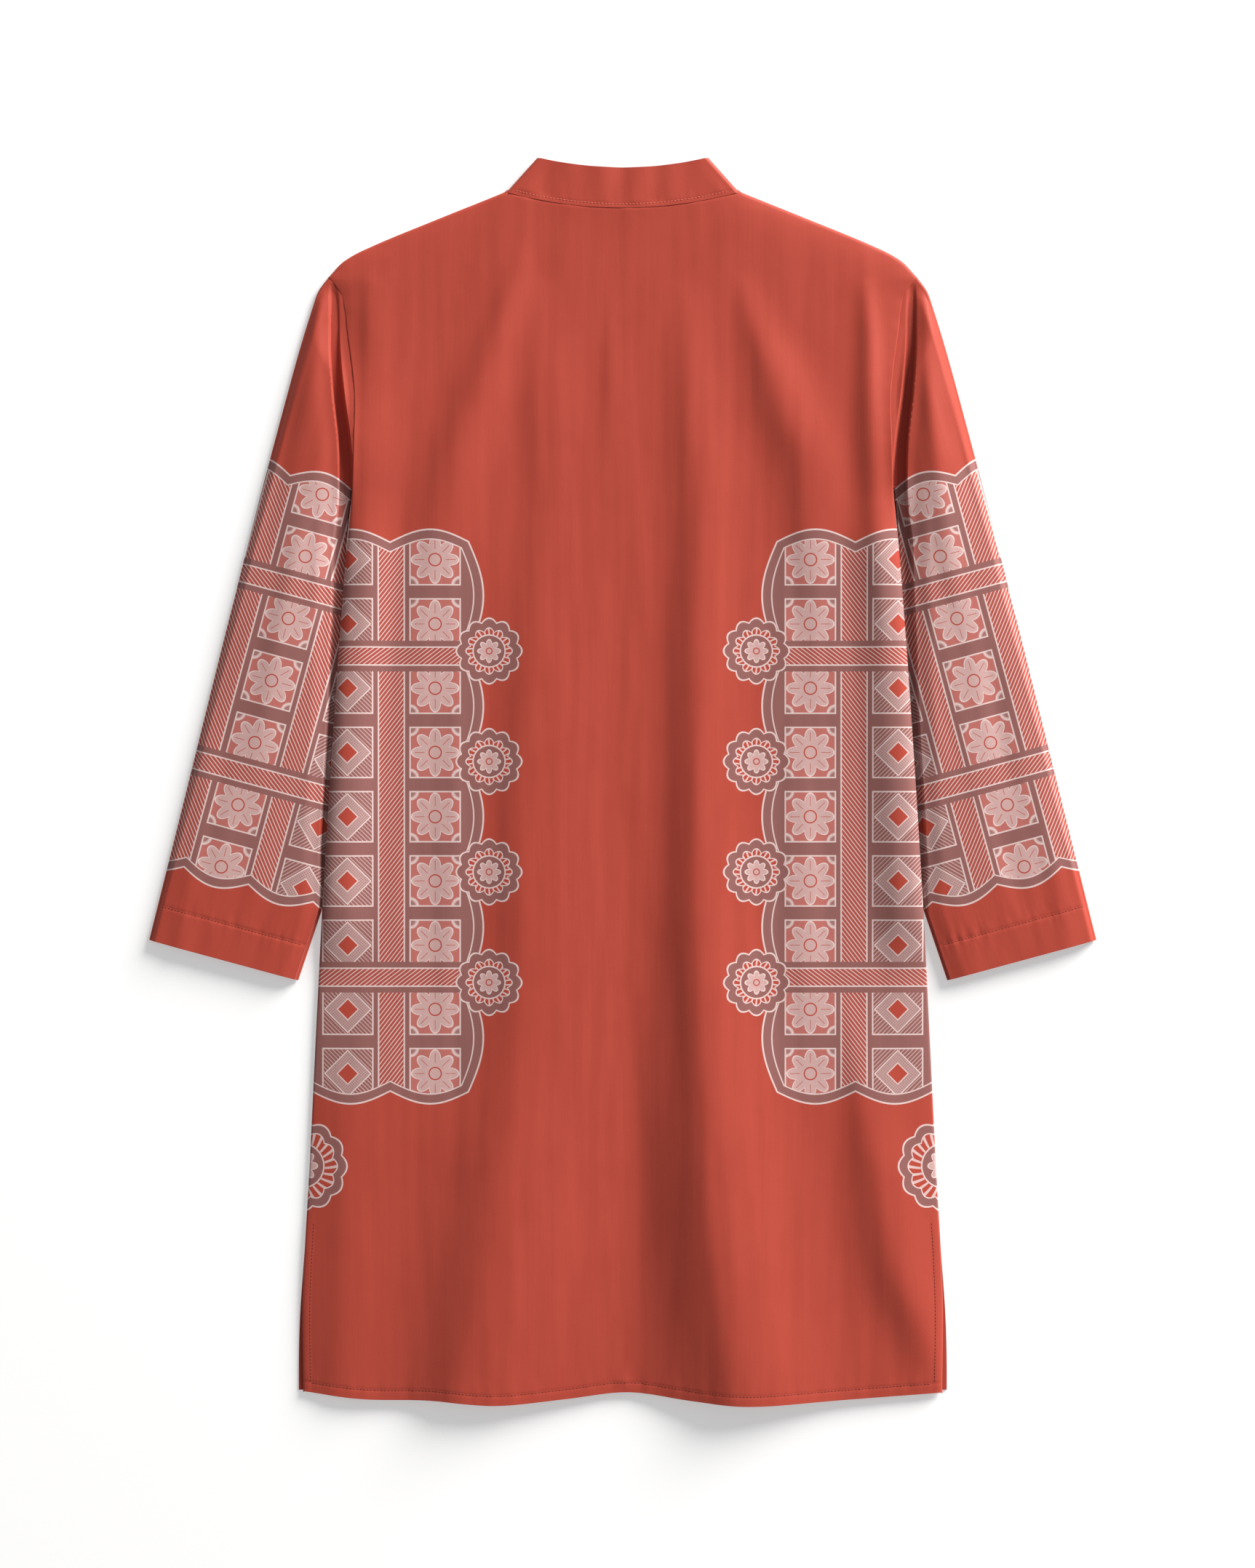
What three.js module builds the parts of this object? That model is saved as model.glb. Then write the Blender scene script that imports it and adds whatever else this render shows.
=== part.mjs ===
// A long collarless-cut kurta with a standing band collar, laid flat on its front with the back panel up.
// Five cut pieces are sewn together: a back panel, a front panel, two set-in sleeves and the collar band.
// The side seams stop short of the hem and leave a slit on each side. Millimetres, X across the garment,
// Y from hem to collar, Z up from the table. The origin is on the table under the middle of the garment.
import * as THREE from "three";

// Cloth and seams.
const CLOTH_WALL = 1.2;
const COLLAR_WALL = 2.0;
const SEAM_GAP = 0.5;
const SIDE_SEAM_HEIGHT = 3.3; // top of the back panel where it is sewn to the front panel
const STEEPEST_WALL = 1.5; // the most that a sloping wall is thickened, as a share of the cloth

// Neck and collar.
const NECK_HALF = 90.9;
const NECK_SIDE_Y = 458.9;
const BACK_NECK_Y = 447.1;
const FRONT_NECK_Y = 388;
const FRONT_NECK_POWER = 2.2;
const COLLAR_TOP_HALF = 66.6;
const COLLAR_TOP_SIDE_Y = 485.4;
const COLLAR_TOP_BACK_Y = 477.5;
const COLLAR_TOP_FRONT_Y = 421;
const COLLAR_FOLD_HEIGHT = 6.6;
const COLLAR_MIDDLE_HEIGHT = 7.2;
const COLLAR_FRONT_GAP = 1.2; // between the two front ends of the band
const FRONT_NECK_GAP = 1.0;

// Front slit below the collar, and the side slits.
const FRONT_SLIT_END_Y = 190;
const FRONT_SLIT_HALF = 0.5;
const SIDE_SLIT_TOP_Y = -352;
const FRONT_PANEL_PEEK = 3.6; // how far the front panel shows past the back panel at the hem
const FRONT_HEM_Y = -475;
const BODY_LENGTH = NECK_SIDE_Y - FRONT_HEM_Y;

// Rise of the back panel off the front panel.
const SIDE_LIFT = { height: 4.0, flatReach: 16, reach: 46, ramp: 36, lowerY: -162 }; // over the sleeves
const LOFT = 2.6;
const LOFT_REACH = 12;
const FOLD_REACH = 24;
const NECK_RISE = { height: 2.6, reach: 35 };
const ARMHOLE_RISE = { height: 5.2, y: 312, span: 46, reach: 22 };
const HEM = { depth: 9, proud: 0.5 };

// Sleeve.
const ARMPIT_Y = 228.4;
const SHOULDER_TIP_Y = 391.8;
const EDGE_RADIUS = 1.8; // the fold along each edge of a flattened sleeve
const FAN_END = { outerY: 172, innerY: 151 };
const CUFF = { outerY: -124, innerX: 252.9, innerY: -155.6 };
const TUCK = { depth: 12, startY: 184, ramp: 55 }; // how far a sleeve goes under the side of the body
const INNER_EDGE_SLOPE = 0.337; // of the stretch of the inner edge that shows above the cuff
const SLEEVE_HEIGHT = { top: 13.5, cuff: 9.6 };
const SLEEVE_OUTER_REACH = 42;
const SLEEVE_EDGE = { share: 0.55, reach: 8 }; // part of the height that is reached close to the edge
const SLEEVE_INNER_REACH = 20;
const VALLEY = { width: 6, wallReach: 3.6 };
const SLEEVE_HEM = { depth: 29, proud: 0.4, step: 2 };

// Half outline of the body: down the armhole, then down the side to the hem.
const BODY_EDGE = [
  { y: 391.8, x: 229.8 },
  { y: 380.4, x: 219.6 },
  { y: 350, x: 214.8 },
  { y: 302, x: 208.8 },
  { y: 262, x: 209.4 },
  { y: ARMPIT_Y, x: 210.4 },
  { y: 167, x: 216.2 },
  { y: 42, x: 225.3 },
  { y: -126, x: 235.5 },
  { y: -298, x: 244.0 },
  { y: -402, x: 249.4 },
  { y: -476, x: 249.0 },
];

// Shoulder line, from the neck to the tip of the shoulder.
const SHOULDER = [
  { x: NECK_HALF, y: NECK_SIDE_Y },
  { x: 141.3, y: 438.9 },
  { x: 196.3, y: 416.2 },
  { x: 217.3, y: 404.8 },
  { x: 229.8, y: 391.8 },
];

// Hem of the back panel, which waves with its folds.
const BACK_HEM = [
  { x: -249, y: -475.6 },
  { x: -200, y: -481.5 },
  { x: -146, y: -482.2 },
  { x: -98, y: -485.4 },
  { x: -45, y: -481.2 },
  { x: 3.7, y: -476.3 },
  { x: 52.6, y: -482.0 },
  { x: 96, y: -485.4 },
  { x: 155, y: -483.0 },
  { x: 249, y: -476.6 },
];

// Outer edge of a sleeve, from the tip of the shoulder to the cuff.
const SLEEVE_OUTER = [
  { y: 391.8, x: 229.8 },
  { y: 382, x: 236.9 },
  { y: 370.8, x: 241.1 },
  { y: 336.8, x: 251.6 },
  { y: 291.4, x: 264.1 },
  { y: 211.9, x: 285.1 },
  { y: 98.4, x: 313.8 },
  { y: -15, x: 341.9 },
  { y: -124, x: 369.1 },
];

// Folds of the back panel: each is a ridge, or a trough where its height is negative, whose crest runs
// through the rows. Left and right are the distances in which it falls to about a third on each side.
const BACK_FOLDS = [
  {
    name: "right of centre",
    rows: [
      { y: 390, x: 50, left: 9, right: 16, height: 0 },
      { y: 300, x: 54, left: 15, right: 22, height: 2.8 },
      { y: 200, x: 61, left: 20, right: 26, height: 4.6 },
      { y: 100, x: 58, left: 21, right: 28, height: 5.8 },
      { y: 0, x: 58, left: 21, right: 30, height: 7.0 },
      { y: -100, x: 58, left: 22, right: 34, height: 8.8 },
      { y: -200, x: 63, left: 26, right: 42, height: 11.0 },
      { y: -300, x: 69, left: 33, right: 52, height: 14.0 },
      { y: -390, x: 74, left: 38, right: 56, height: 14.8 },
      { y: -490, x: 82, left: 46, right: 58, height: 14.0 },
    ],
  },
  {
    name: "left of the trough",
    rows: [
      { y: 60, x: 8, left: 14, right: 12, height: 0 },
      { y: -160, x: 8, left: 22, right: 14, height: -0.6 },
      { y: -340, x: 10, left: 30, right: 18, height: -1.6 },
      { y: -490, x: 6, left: 34, right: 20, height: -1.4 },
    ],
  },
  {
    name: "left of centre",
    rows: [
      { y: 260, x: -58, left: 12, right: 34, height: 0 },
      { y: 180, x: -62, left: 16, right: 40, height: 1.5 },
      { y: 80, x: -70, left: 20, right: 50, height: 3.4 },
      { y: -60, x: -75, left: 22, right: 56, height: 4.6 },
      { y: -200, x: -78, left: 26, right: 60, height: 5.4 },
      { y: -300, x: -90, left: 37, right: 64, height: 7.4 },
      { y: -400, x: -104, left: 42, right: 70, height: 8.8 },
      { y: -490, x: -124, left: 46, right: 76, height: 8.4 },
    ],
  },
  {
    name: "left hip",
    rows: [
      { y: -150, x: -198, left: 20, right: 20, height: 0 },
      { y: -260, x: -200, left: 24, right: 30, height: 1.8 },
      { y: -400, x: -204, left: 26, right: 34, height: 3.0 },
      { y: -490, x: -206, left: 28, right: 34, height: 3.2 },
    ],
  },
  {
    name: "right hip",
    rows: [
      { y: -170, x: 180, left: 12, right: 20, height: 0 },
      { y: -240, x: 188, left: 15, right: 26, height: 3.0 },
      { y: -300, x: 199, left: 20, right: 28, height: 5.8 },
      { y: -380, x: 214, left: 24, right: 32, height: 7.4 },
      { y: -440, x: 240, left: 27, right: 34, height: 7.8 },
      { y: -490, x: 270, left: 30, right: 36, height: 7.6 },
    ],
  },
  {
    name: "left shoulder blade",
    rows: [
      { y: 422, x: -78, left: 6, right: 7, height: 0 },
      { y: 395, x: -83, left: 9, right: 10, height: 1.4 },
      { y: 350, x: -97, left: 14, right: 16, height: 3.2 },
      { y: 300, x: -113, left: 19, right: 22, height: 4.6 },
      { y: 250, x: -131, left: 23, right: 26, height: 5.0 },
      { y: 190, x: -146, left: 24, right: 26, height: 3.8 },
      { y: 110, x: -152, left: 22, right: 24, height: 1.2 },
      { y: 30, x: -154, left: 20, right: 22, height: 0 },
    ],
  },
  {
    name: "right shoulder blade",
    rows: [
      { y: 395, x: 92, left: 7, right: 10, height: 0 },
      { y: 350, x: 104, left: 12, right: 16, height: 2.4 },
      { y: 300, x: 122, left: 16, right: 26, height: 5.2 },
      { y: 250, x: 138, left: 19, right: 28, height: 5.6 },
      { y: 190, x: 148, left: 19, right: 26, height: 4.0 },
      { y: 110, x: 154, left: 16, right: 24, height: 1.2 },
      { y: 30, x: 158, left: 14, right: 20, height: 0 },
    ],
  },
  {
    name: "left of the spine",
    rows: [
      { y: 390, x: -62, left: 8, right: 18, height: 0 },
      { y: 340, x: -63, left: 11, right: 22, height: 1.4 },
      { y: 280, x: -64, left: 13, right: 28, height: 1.9 },
      { y: 210, x: -62, left: 13, right: 30, height: 0 },
    ],
  },
  {
    name: "left armhole",
    rows: [
      { y: 396, x: -197, left: 5, right: 12, height: 0.8 },
      { y: 350, x: -197, left: 6, right: 15, height: 3.0 },
      { y: 300, x: -196, left: 7, right: 17, height: 3.4 },
      { y: 250, x: -196, left: 8, right: 20, height: 3.2 },
      { y: 180, x: -199, left: 9, right: 20, height: 1.8 },
      { y: 80, x: -206, left: 9, right: 18, height: 0 },
    ],
  },
  {
    name: "right armhole",
    rows: [
      { y: 392, x: 189, left: 7, right: 8, height: 0.8 },
      { y: 345, x: 193, left: 9, right: 8, height: 5.2 },
      { y: 300, x: 194, left: 10, right: 9, height: 7.0 },
      { y: 250, x: 196, left: 11, right: 10, height: 6.6 },
      { y: 180, x: 200, left: 10, right: 10, height: 3.2 },
      { y: 80, x: 206, left: 9, right: 10, height: 0 },
    ],
  },
];

// Folds of the sleeves, in the same form, on the side that each lies.
const SLEEVE_FOLDS = [
  {
    name: "left outer",
    rows: [
      { y: 372, x: -244, left: 7, right: 7, height: 0 },
      { y: 345, x: -246, left: 8, right: 8, height: -1.6 },
      { y: 240, x: -267, left: 10, right: 10, height: -1.8 },
      { y: 130, x: -288, left: 12, right: 12, height: 0 },
    ],
  },
  {
    name: "left elbow",
    rows: [
      { y: 220, x: -249, left: 9, right: 9, height: 0 },
      { y: 160, x: -256, left: 10, right: 12, height: 1.4 },
      { y: 60, x: -276, left: 12, right: 14, height: 1.6 },
      { y: -40, x: -292, left: 14, right: 14, height: 0 },
    ],
  },
  {
    name: "right ridge",
    rows: [
      { y: 380, x: 229, left: 5, right: 6, height: 0 },
      { y: 350, x: 233, left: 6, right: 7, height: 2.0 },
      { y: 240, x: 246, left: 9, right: 10, height: 2.4 },
      { y: 120, x: 262, left: 12, right: 12, height: 0 },
    ],
  },
  {
    name: "right outer",
    rows: [
      { y: 366, x: 246, left: 4, right: 5, height: 0 },
      { y: 330, x: 252, left: 5, right: 6, height: -1.0 },
      { y: 240, x: 268, left: 7, right: 8, height: -1.2 },
      { y: 160, x: 282, left: 8, right: 8, height: 0 },
    ],
  },
  {
    name: "right elbow",
    rows: [
      { y: 110, x: 283, left: 8, right: 9, height: 0 },
      { y: 60, x: 291, left: 10, right: 11, height: -1.4 },
      { y: -40, x: 304, left: 13, right: 13, height: -1.2 },
      { y: -110, x: 316, left: 14, right: 14, height: 0 },
    ],
  },
];

// Grid steps.
const ARMHOLE_STEPS = 16;
const SIDE_ROWS = 18;
const BACK_COLUMNS = { insets: [0, 2.5, 6, 12], shoulder: 7, neck: 11, slitHalf: 0 };
const FRONT_COLUMNS = { insets: [0, 16, 46], shoulder: 2, neck: 9, slitHalf: FRONT_SLIT_HALF };
const SLEEVE_GRID = { fan: 10, rings: 12, fold: 4 };
const COLLAR_GRID = { heights: 4, backArc: 16, frontArc: 8, fold: 6 };

const clamp = (value, low, high) => Math.min(high, Math.max(low, value));
const lerp = (a, b, t) => a + (b - a) * t;
const smooth = (t) => t * t * (3 - 2 * t);
const swell = (distance, reach) => Math.sin((Math.PI / 2) * clamp(distance / reach, 0, 1));

// A smooth curve through the rows of a table: the value of one column where another has the given value.
function along(rows, from, to, at) {
  const rising = rows[rows.length - 1][from] > rows[0][from];
  const ordered = rising ? rows : [...rows].reverse();
  const last = ordered.length - 1;
  const here = clamp(at, ordered[0][from], ordered[last][from]);
  let k = 0;
  while (k < last - 1 && here > ordered[k + 1][from]) k++;
  const slope = (i) => {
    const a = ordered[Math.max(0, i - 1)];
    const b = ordered[Math.min(last, i + 1)];
    return (b[to] - a[to]) / (b[from] - a[from]);
  };
  const [a, b] = [ordered[k], ordered[k + 1]];
  const span = b[from] - a[from];
  const t = (here - a[from]) / span;
  const startPull = t * (1 - t) * (1 - t) * span * slope(k);
  const endPull = t * t * (t - 1) * span * slope(k + 1);
  return lerp(a[to], b[to], smooth(t)) + startPull + endPull;
}

const bodyHalf = (y) => along(BODY_EDGE, "y", "x", y);
const shoulderY = (x) => along(SHOULDER, "x", "y", Math.abs(x));
const backHemY = (x) => along(BACK_HEM, "x", "y", x);
const sleeveOuterX = (y) => along(SLEEVE_OUTER, "y", "x", y);

// Distance in plan from a point to a line of points.
function distanceTo(line, x, y) {
  let nearest = Infinity;
  for (let i = 0; i + 1 < line.length; i++) {
    const [ax, ay] = line[i];
    const [dx, dy] = [line[i + 1][0] - ax, line[i + 1][1] - ay];
    const length = Math.max(dx * dx + dy * dy, 1e-9);
    const t = clamp(((x - ax) * dx + (y - ay) * dy) / length, 0, 1);
    nearest = Math.min(nearest, Math.hypot(x - ax - t * dx, y - ay - t * dy));
  }
  return nearest;
}

const LINE_STEPS = 60;
const stepsOf = (count) => Array.from({ length: count + 1 }, (_, i) => i / count);
const BODY_LINE = [
  ...stepsOf(10).map((t) => lerp(NECK_HALF, SHOULDER[4].x, t)).map((x) => [x, shoulderY(x)]),
  ...stepsOf(LINE_STEPS).map((t) => lerp(SHOULDER_TIP_Y, FRONT_HEM_Y, t)).map((y) => [bodyHalf(y), y]),
];

// Height that the folds of a table add at a point in plan.
function foldHeight(folds, x, y) {
  return folds.reduce((sum, { rows }) => {
    const off = x - along(rows, "y", "x", y);
    const reach = along(rows, "y", off < 0 ? "left" : "right", y);
    return sum + along(rows, "y", "height", y) * Math.exp(-((off / reach) ** 2));
  }, 0);
}

// Height by which the side of the body is lifted off the table by the sleeve that is tucked under it.
function sideLift(x, y) {
  const above = smooth(clamp((ARMPIT_Y - y) / SIDE_LIFT.ramp, 0, 1));
  const below = smooth(clamp((y - SIDE_LIFT.lowerY) / SIDE_LIFT.ramp, 0, 1));
  const inset = bodyHalf(y) - Math.abs(x);
  const across = clamp((SIDE_LIFT.reach - inset) / (SIDE_LIFT.reach - SIDE_LIFT.flatReach), 0, 1);
  return SIDE_LIFT.height * above * below * smooth(across);
}

const armholeRise = (y) => ARMHOLE_RISE.height * Math.exp(-(((y - ARMHOLE_RISE.y) / ARMHOLE_RISE.span) ** 2));

// Top of the back panel over a point in plan.
function backTop(x, y) {
  const toSeam = distanceTo(BODY_LINE, Math.abs(x), y);
  const toNeck = Math.hypot(Math.abs(x) - NECK_HALF, y - NECK_SIDE_Y);
  const hemStep = y < backHemY(x) + HEM.depth ? HEM.proud : 0;
  return (
    SIDE_SEAM_HEIGHT +
    LOFT * (1 - Math.exp(-toSeam / LOFT_REACH)) +
    foldHeight(BACK_FOLDS, x, y) * (1 - Math.exp(-toSeam / FOLD_REACH)) +
    NECK_RISE.height * Math.exp(-toNeck / NECK_RISE.reach) +
    armholeRise(y) * Math.exp(-toSeam / ARMHOLE_RISE.reach) +
    sideLift(x, y) +
    hemStep
  );
}

// Underside of a wall whose top is the given surface, measured square to the cloth.
function underside(surface, x, y, wall) {
  const step = 0.5;
  const slopeX = (surface(x + step, y) - surface(x - step, y)) / (2 * step);
  const slopeY = (surface(x, y + step) - surface(x, y - step)) / (2 * step);
  return surface(x, y) - wall * Math.min(STEEPEST_WALL, Math.hypot(1, slopeX, slopeY));
}

// A closed solid between two grids of points. A grid that wraps joins its last column to its first.
// Cells that are left out, such as those of a slit, get walls around them.
function sheetBetween(outer, inner, { wraps = false, keeps = () => true } = {}) {
  const rows = outer.length;
  const columns = outer[0].length;
  const cellColumns = wraps ? columns : columns - 1;
  const vertices = [...outer.flat(), ...inner.flat()].flatMap((p) => [p.x, p.y, p.z]);
  const outerIndex = (j, i) => j * columns + (i % columns);
  const innerIndex = (j, i) => rows * columns + outerIndex(j, i);
  const kept = (j, i) => {
    if (j < 0 || j >= rows - 1) return false;
    if (!wraps && (i < 0 || i >= cellColumns)) return false;
    return keeps(j, (i + cellColumns) % cellColumns);
  };
  const faces = [];
  const quad = (a, b, c, d) => faces.push(a, b, c, a, c, d);
  const wall = (ja, ia, jb, ib) =>
    quad(outerIndex(ja, ia), outerIndex(jb, ib), innerIndex(jb, ib), innerIndex(ja, ia));
  for (let j = 0; j < rows - 1; j++) {
    for (let i = 0; i < cellColumns; i++) {
      if (!kept(j, i)) continue;
      quad(outerIndex(j, i), outerIndex(j + 1, i), outerIndex(j + 1, i + 1), outerIndex(j, i + 1));
      quad(innerIndex(j, i), innerIndex(j, i + 1), innerIndex(j + 1, i + 1), innerIndex(j + 1, i));
      if (!kept(j - 1, i)) wall(j, i, j, i + 1);
      if (!kept(j + 1, i)) wall(j + 1, i + 1, j + 1, i);
      if (!kept(j, i - 1)) wall(j + 1, i, j, i);
      if (!kept(j, i + 1)) wall(j, i + 1, j + 1, i + 1);
    }
  }
  const point = (n) => new THREE.Vector3(...vertices.slice(3 * n, 3 * n + 3));
  let volume = 0;
  for (let f = 0; f < faces.length; f += 3) {
    const [a, b, c] = [point(faces[f]), point(faces[f + 1]), point(faces[f + 2])];
    volume += a.dot(b.cross(c)) / 6;
  }
  if (volume < 0) faces.reverse();
  const geometry = new THREE.BufferGeometry();
  geometry.setAttribute("position", new THREE.Float32BufferAttribute(vertices, 3));
  geometry.setIndex(faces);
  geometry.computeVertexNormals();
  return geometry;
}

// Shares of the half width at which a body panel has columns: close together at the side seam, with
// one at the neck point, and a narrow pair at the centre where the panel is slit.
function bodyColumns({ insets, shoulder, neck, slitHalf }) {
  const tip = SHOULDER[4].x;
  const seam = insets.map((d) => 1 - d / tip);
  const side = stepsOf(shoulder).map((t) => lerp(seam[seam.length - 1], NECK_HALF / tip, t));
  const middle = stepsOf(neck).map((t) => lerp(NECK_HALF, slitHalf, t) / tip);
  const right = [...seam, ...side.slice(1), ...middle.slice(1)];
  const left = right.map((share) => -share);
  return slitHalf > 0 ? [...left, ...right.reverse()] : [...left, ...right.reverse().slice(1)];
}

// Heights of the points that the back panel, the front panel and the sleeve share along the armhole,
// from the tip of the shoulder down, close together where it bends.
const armholeY = (t) => lerp(SHOULDER_TIP_Y, ARMPIT_Y, t ** 1.5);

// Rows of a body panel as shares of its length: down the armhole, down the side and round the hem.
function bodyRows(armholeSteps) {
  const share = (y) => (SHOULDER_TIP_Y - y) / (SHOULDER_TIP_Y - FRONT_HEM_Y);
  const hemStart = 1 - HEM.depth / BODY_LENGTH;
  const armhole = stepsOf(armholeSteps).map((t) => share(armholeY(t)));
  const side = stepsOf(SIDE_ROWS).map((t) => lerp(share(ARMPIT_Y), hemStart, t));
  return [...armhole, ...side.slice(1), hemStart + 1 / BODY_LENGTH, 1];
}

// Points of a body panel: rows from the neck and shoulder line, whose height is given, to the hem.
function bodyGrid(columns, rows, topY, hemY, placed) {
  const tip = SHOULDER[4].x;
  return rows.map((v) =>
    columns.map((s) => {
      const start = Math.abs(s * tip) >= NECK_HALF - 1e-6 ? shoulderY(s * tip) : topY(Math.abs(s * tip));
      return placed(s, lerp(start, hemY(s * bodyHalf(FRONT_HEM_Y)), v));
    }),
  );
}

function backPanel() {
  const neckY = (x) => lerp(BACK_NECK_Y, NECK_SIDE_Y, (x / NECK_HALF) ** 2) - SEAM_GAP;
  const placed = (s, y) => {
    const x = s * bodyHalf(y);
    return new THREE.Vector3(x, y, backTop(x, y));
  };
  const outer = bodyGrid(bodyColumns(BACK_COLUMNS), bodyRows(ARMHOLE_STEPS), neckY, backHemY, placed);
  const inner = outer.map((row) =>
    row.map((p) => new THREE.Vector3(p.x, p.y, underside(backTop, p.x, p.y, CLOTH_WALL))),
  );
  return sheetBetween(outer, inner);
}

// The front panel lies flat on the table under the back panel, lifted only where a sleeve is tucked
// under its side, and slit down from the neck. Below the tops of the side slits it shows a little past
// the back panel.
function frontPanel() {
  const neckY = (x) => lerp(FRONT_NECK_Y, NECK_SIDE_Y, (x / NECK_HALF) ** FRONT_NECK_POWER) - FRONT_NECK_GAP;
  const placed = (s, y) => {
    const below = clamp((SIDE_SLIT_TOP_Y - y) / (SIDE_SLIT_TOP_Y - FRONT_HEM_Y), 0, 1);
    const x = s * (bodyHalf(y) + FRONT_PANEL_PEEK * smooth(below));
    return new THREE.Vector3(x, y, sideLift(x, y));
  };
  const columns = bodyColumns(FRONT_COLUMNS);
  const under = bodyGrid(columns, bodyRows(ARMHOLE_STEPS / 2), neckY, () => FRONT_HEM_Y, placed);
  const over = under.map((row) => row.map((p) => new THREE.Vector3(p.x, p.y, p.z + CLOTH_WALL)));
  const slitColumn = columns.findIndex((s) => s > 0) - 1;
  const keeps = (j, i) => i !== slitColumn || under[j + 1][i].y < FRONT_SLIT_END_Y;
  return sheetBetween(under, over, { keeps });
}

// Line at the side of the body that a sleeve is sewn to, and that it lies beside further down.
function besideBodyX(y) {
  const slope = (bodyHalf(y + 1) - bodyHalf(y - 1)) / 2;
  return bodyHalf(y) + SEAM_GAP * Math.hypot(1, slope);
}

// Inner edge of a sleeve: below the armpit it goes under the side of the body, and it comes out again
// above the cuff.
function sleeveInnerX(y) {
  const tucked = besideBodyX(y) - TUCK.depth * smooth(clamp((TUCK.startY - y) / TUCK.ramp, 0, 1));
  return Math.max(tucked, CUFF.innerX - (y - CUFF.innerY) * INNER_EDGE_SLOPE);
}

// Inner border of the part of a sleeve that nothing covers.
const sleeveShowsFromX = (y) => Math.max(sleeveInnerX(y), besideBodyX(y));

const SLEEVE_OUTER_LINE = stepsOf(LINE_STEPS)
  .map((t) => lerp(SHOULDER_TIP_Y, CUFF.outerY, t))
  .map((y) => [sleeveOuterX(y), y]);
const SLEEVE_INNER_LINE = stepsOf(LINE_STEPS)
  .map((t) => lerp(SHOULDER_TIP_Y, CUFF.innerY, t))
  .map((y) => [sleeveShowsFromX(y), y]);
const CUFF_LINE = [
  [sleeveOuterX(CUFF.outerY), CUFF.outerY],
  [CUFF.innerX, CUFF.innerY],
];

// Top of a sleeve over a point in plan: a lobe between its two edges, with a valley along the body
// and, beside the armhole, a wall that climbs from the valley to the seam.
function sleeveTop(x, y) {
  const fromOuter = distanceTo(SLEEVE_OUTER_LINE, Math.abs(x), y);
  const covered = Math.abs(x) < sleeveShowsFromX(y);
  const fromInner = covered ? 0 : distanceTo(SLEEVE_INNER_LINE, Math.abs(x), y);
  const fromCuff = distanceTo(CUFF_LINE, Math.abs(x), y);
  const down = clamp((SHOULDER_TIP_Y - y) / (SHOULDER_TIP_Y - CUFF.innerY), 0, 1);
  const height = lerp(SLEEVE_HEIGHT.top, SLEEVE_HEIGHT.cuff, down) - 2 * EDGE_RADIUS;
  const domed = swell(fromOuter - EDGE_RADIUS, SLEEVE_OUTER_REACH);
  const rolled = swell(fromOuter - EDGE_RADIUS, SLEEVE_EDGE.reach);
  const rise = smooth(clamp((fromInner - VALLEY.width) / SLEEVE_INNER_REACH, 0, 1));
  const lobe = lerp(domed, rolled, SLEEVE_EDGE.share) * rise;
  const seamWall = Math.max(0, SIDE_SEAM_HEIGHT + armholeRise(y) - 2 * EDGE_RADIUS);
  const hemStep = SLEEVE_HEM.proud * smooth(clamp((SLEEVE_HEM.depth - fromCuff) / SLEEVE_HEM.step, 0, 1));
  return (
    2 * EDGE_RADIUS +
    lobe * (height + foldHeight(SLEEVE_FOLDS, x, y)) +
    seamWall * Math.exp(-((fromInner / VALLEY.wallReach) ** 2)) +
    hemStep * lobe
  );
}

// The two ends, in plan, of each ring of a sleeve: they fan out from the armhole and then run square
// to the sleeve, with two rings close together at the stitched line of the hem.
function sleeveRings() {
  const fan = stepsOf(SLEEVE_GRID.fan).map((t) => ({
    outerY: lerp(SHOULDER_TIP_Y, FAN_END.outerY, t ** 1.5),
    innerY: lerp(ARMPIT_Y, FAN_END.innerY, t),
    bulge: (1 - t) ** 1.5,
  }));
  const widening = sleeveOuterX(CUFF.outerY) - sleeveOuterX(FAN_END.outerY);
  const length = Math.hypot(FAN_END.outerY - CUFF.outerY, widening);
  const hemShares = [SLEEVE_HEM.depth, SLEEVE_HEM.depth - SLEEVE_HEM.step].map((d) => 1 - d / length);
  const evenly = stepsOf(SLEEVE_GRID.rings).slice(1);
  const apart = 0.4 / SLEEVE_GRID.rings;
  const shares = [...evenly.filter((t) => hemShares.every((h) => Math.abs(h - t) > apart)), ...hemShares];
  const straight = shares
    .sort((a, b) => a - b)
    .map((t) => ({
      outerY: lerp(FAN_END.outerY, CUFF.outerY, t),
      innerY: lerp(FAN_END.innerY, CUFF.innerY, t),
      bulge: 0,
    }));
  return [...fan, ...straight];
}

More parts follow.
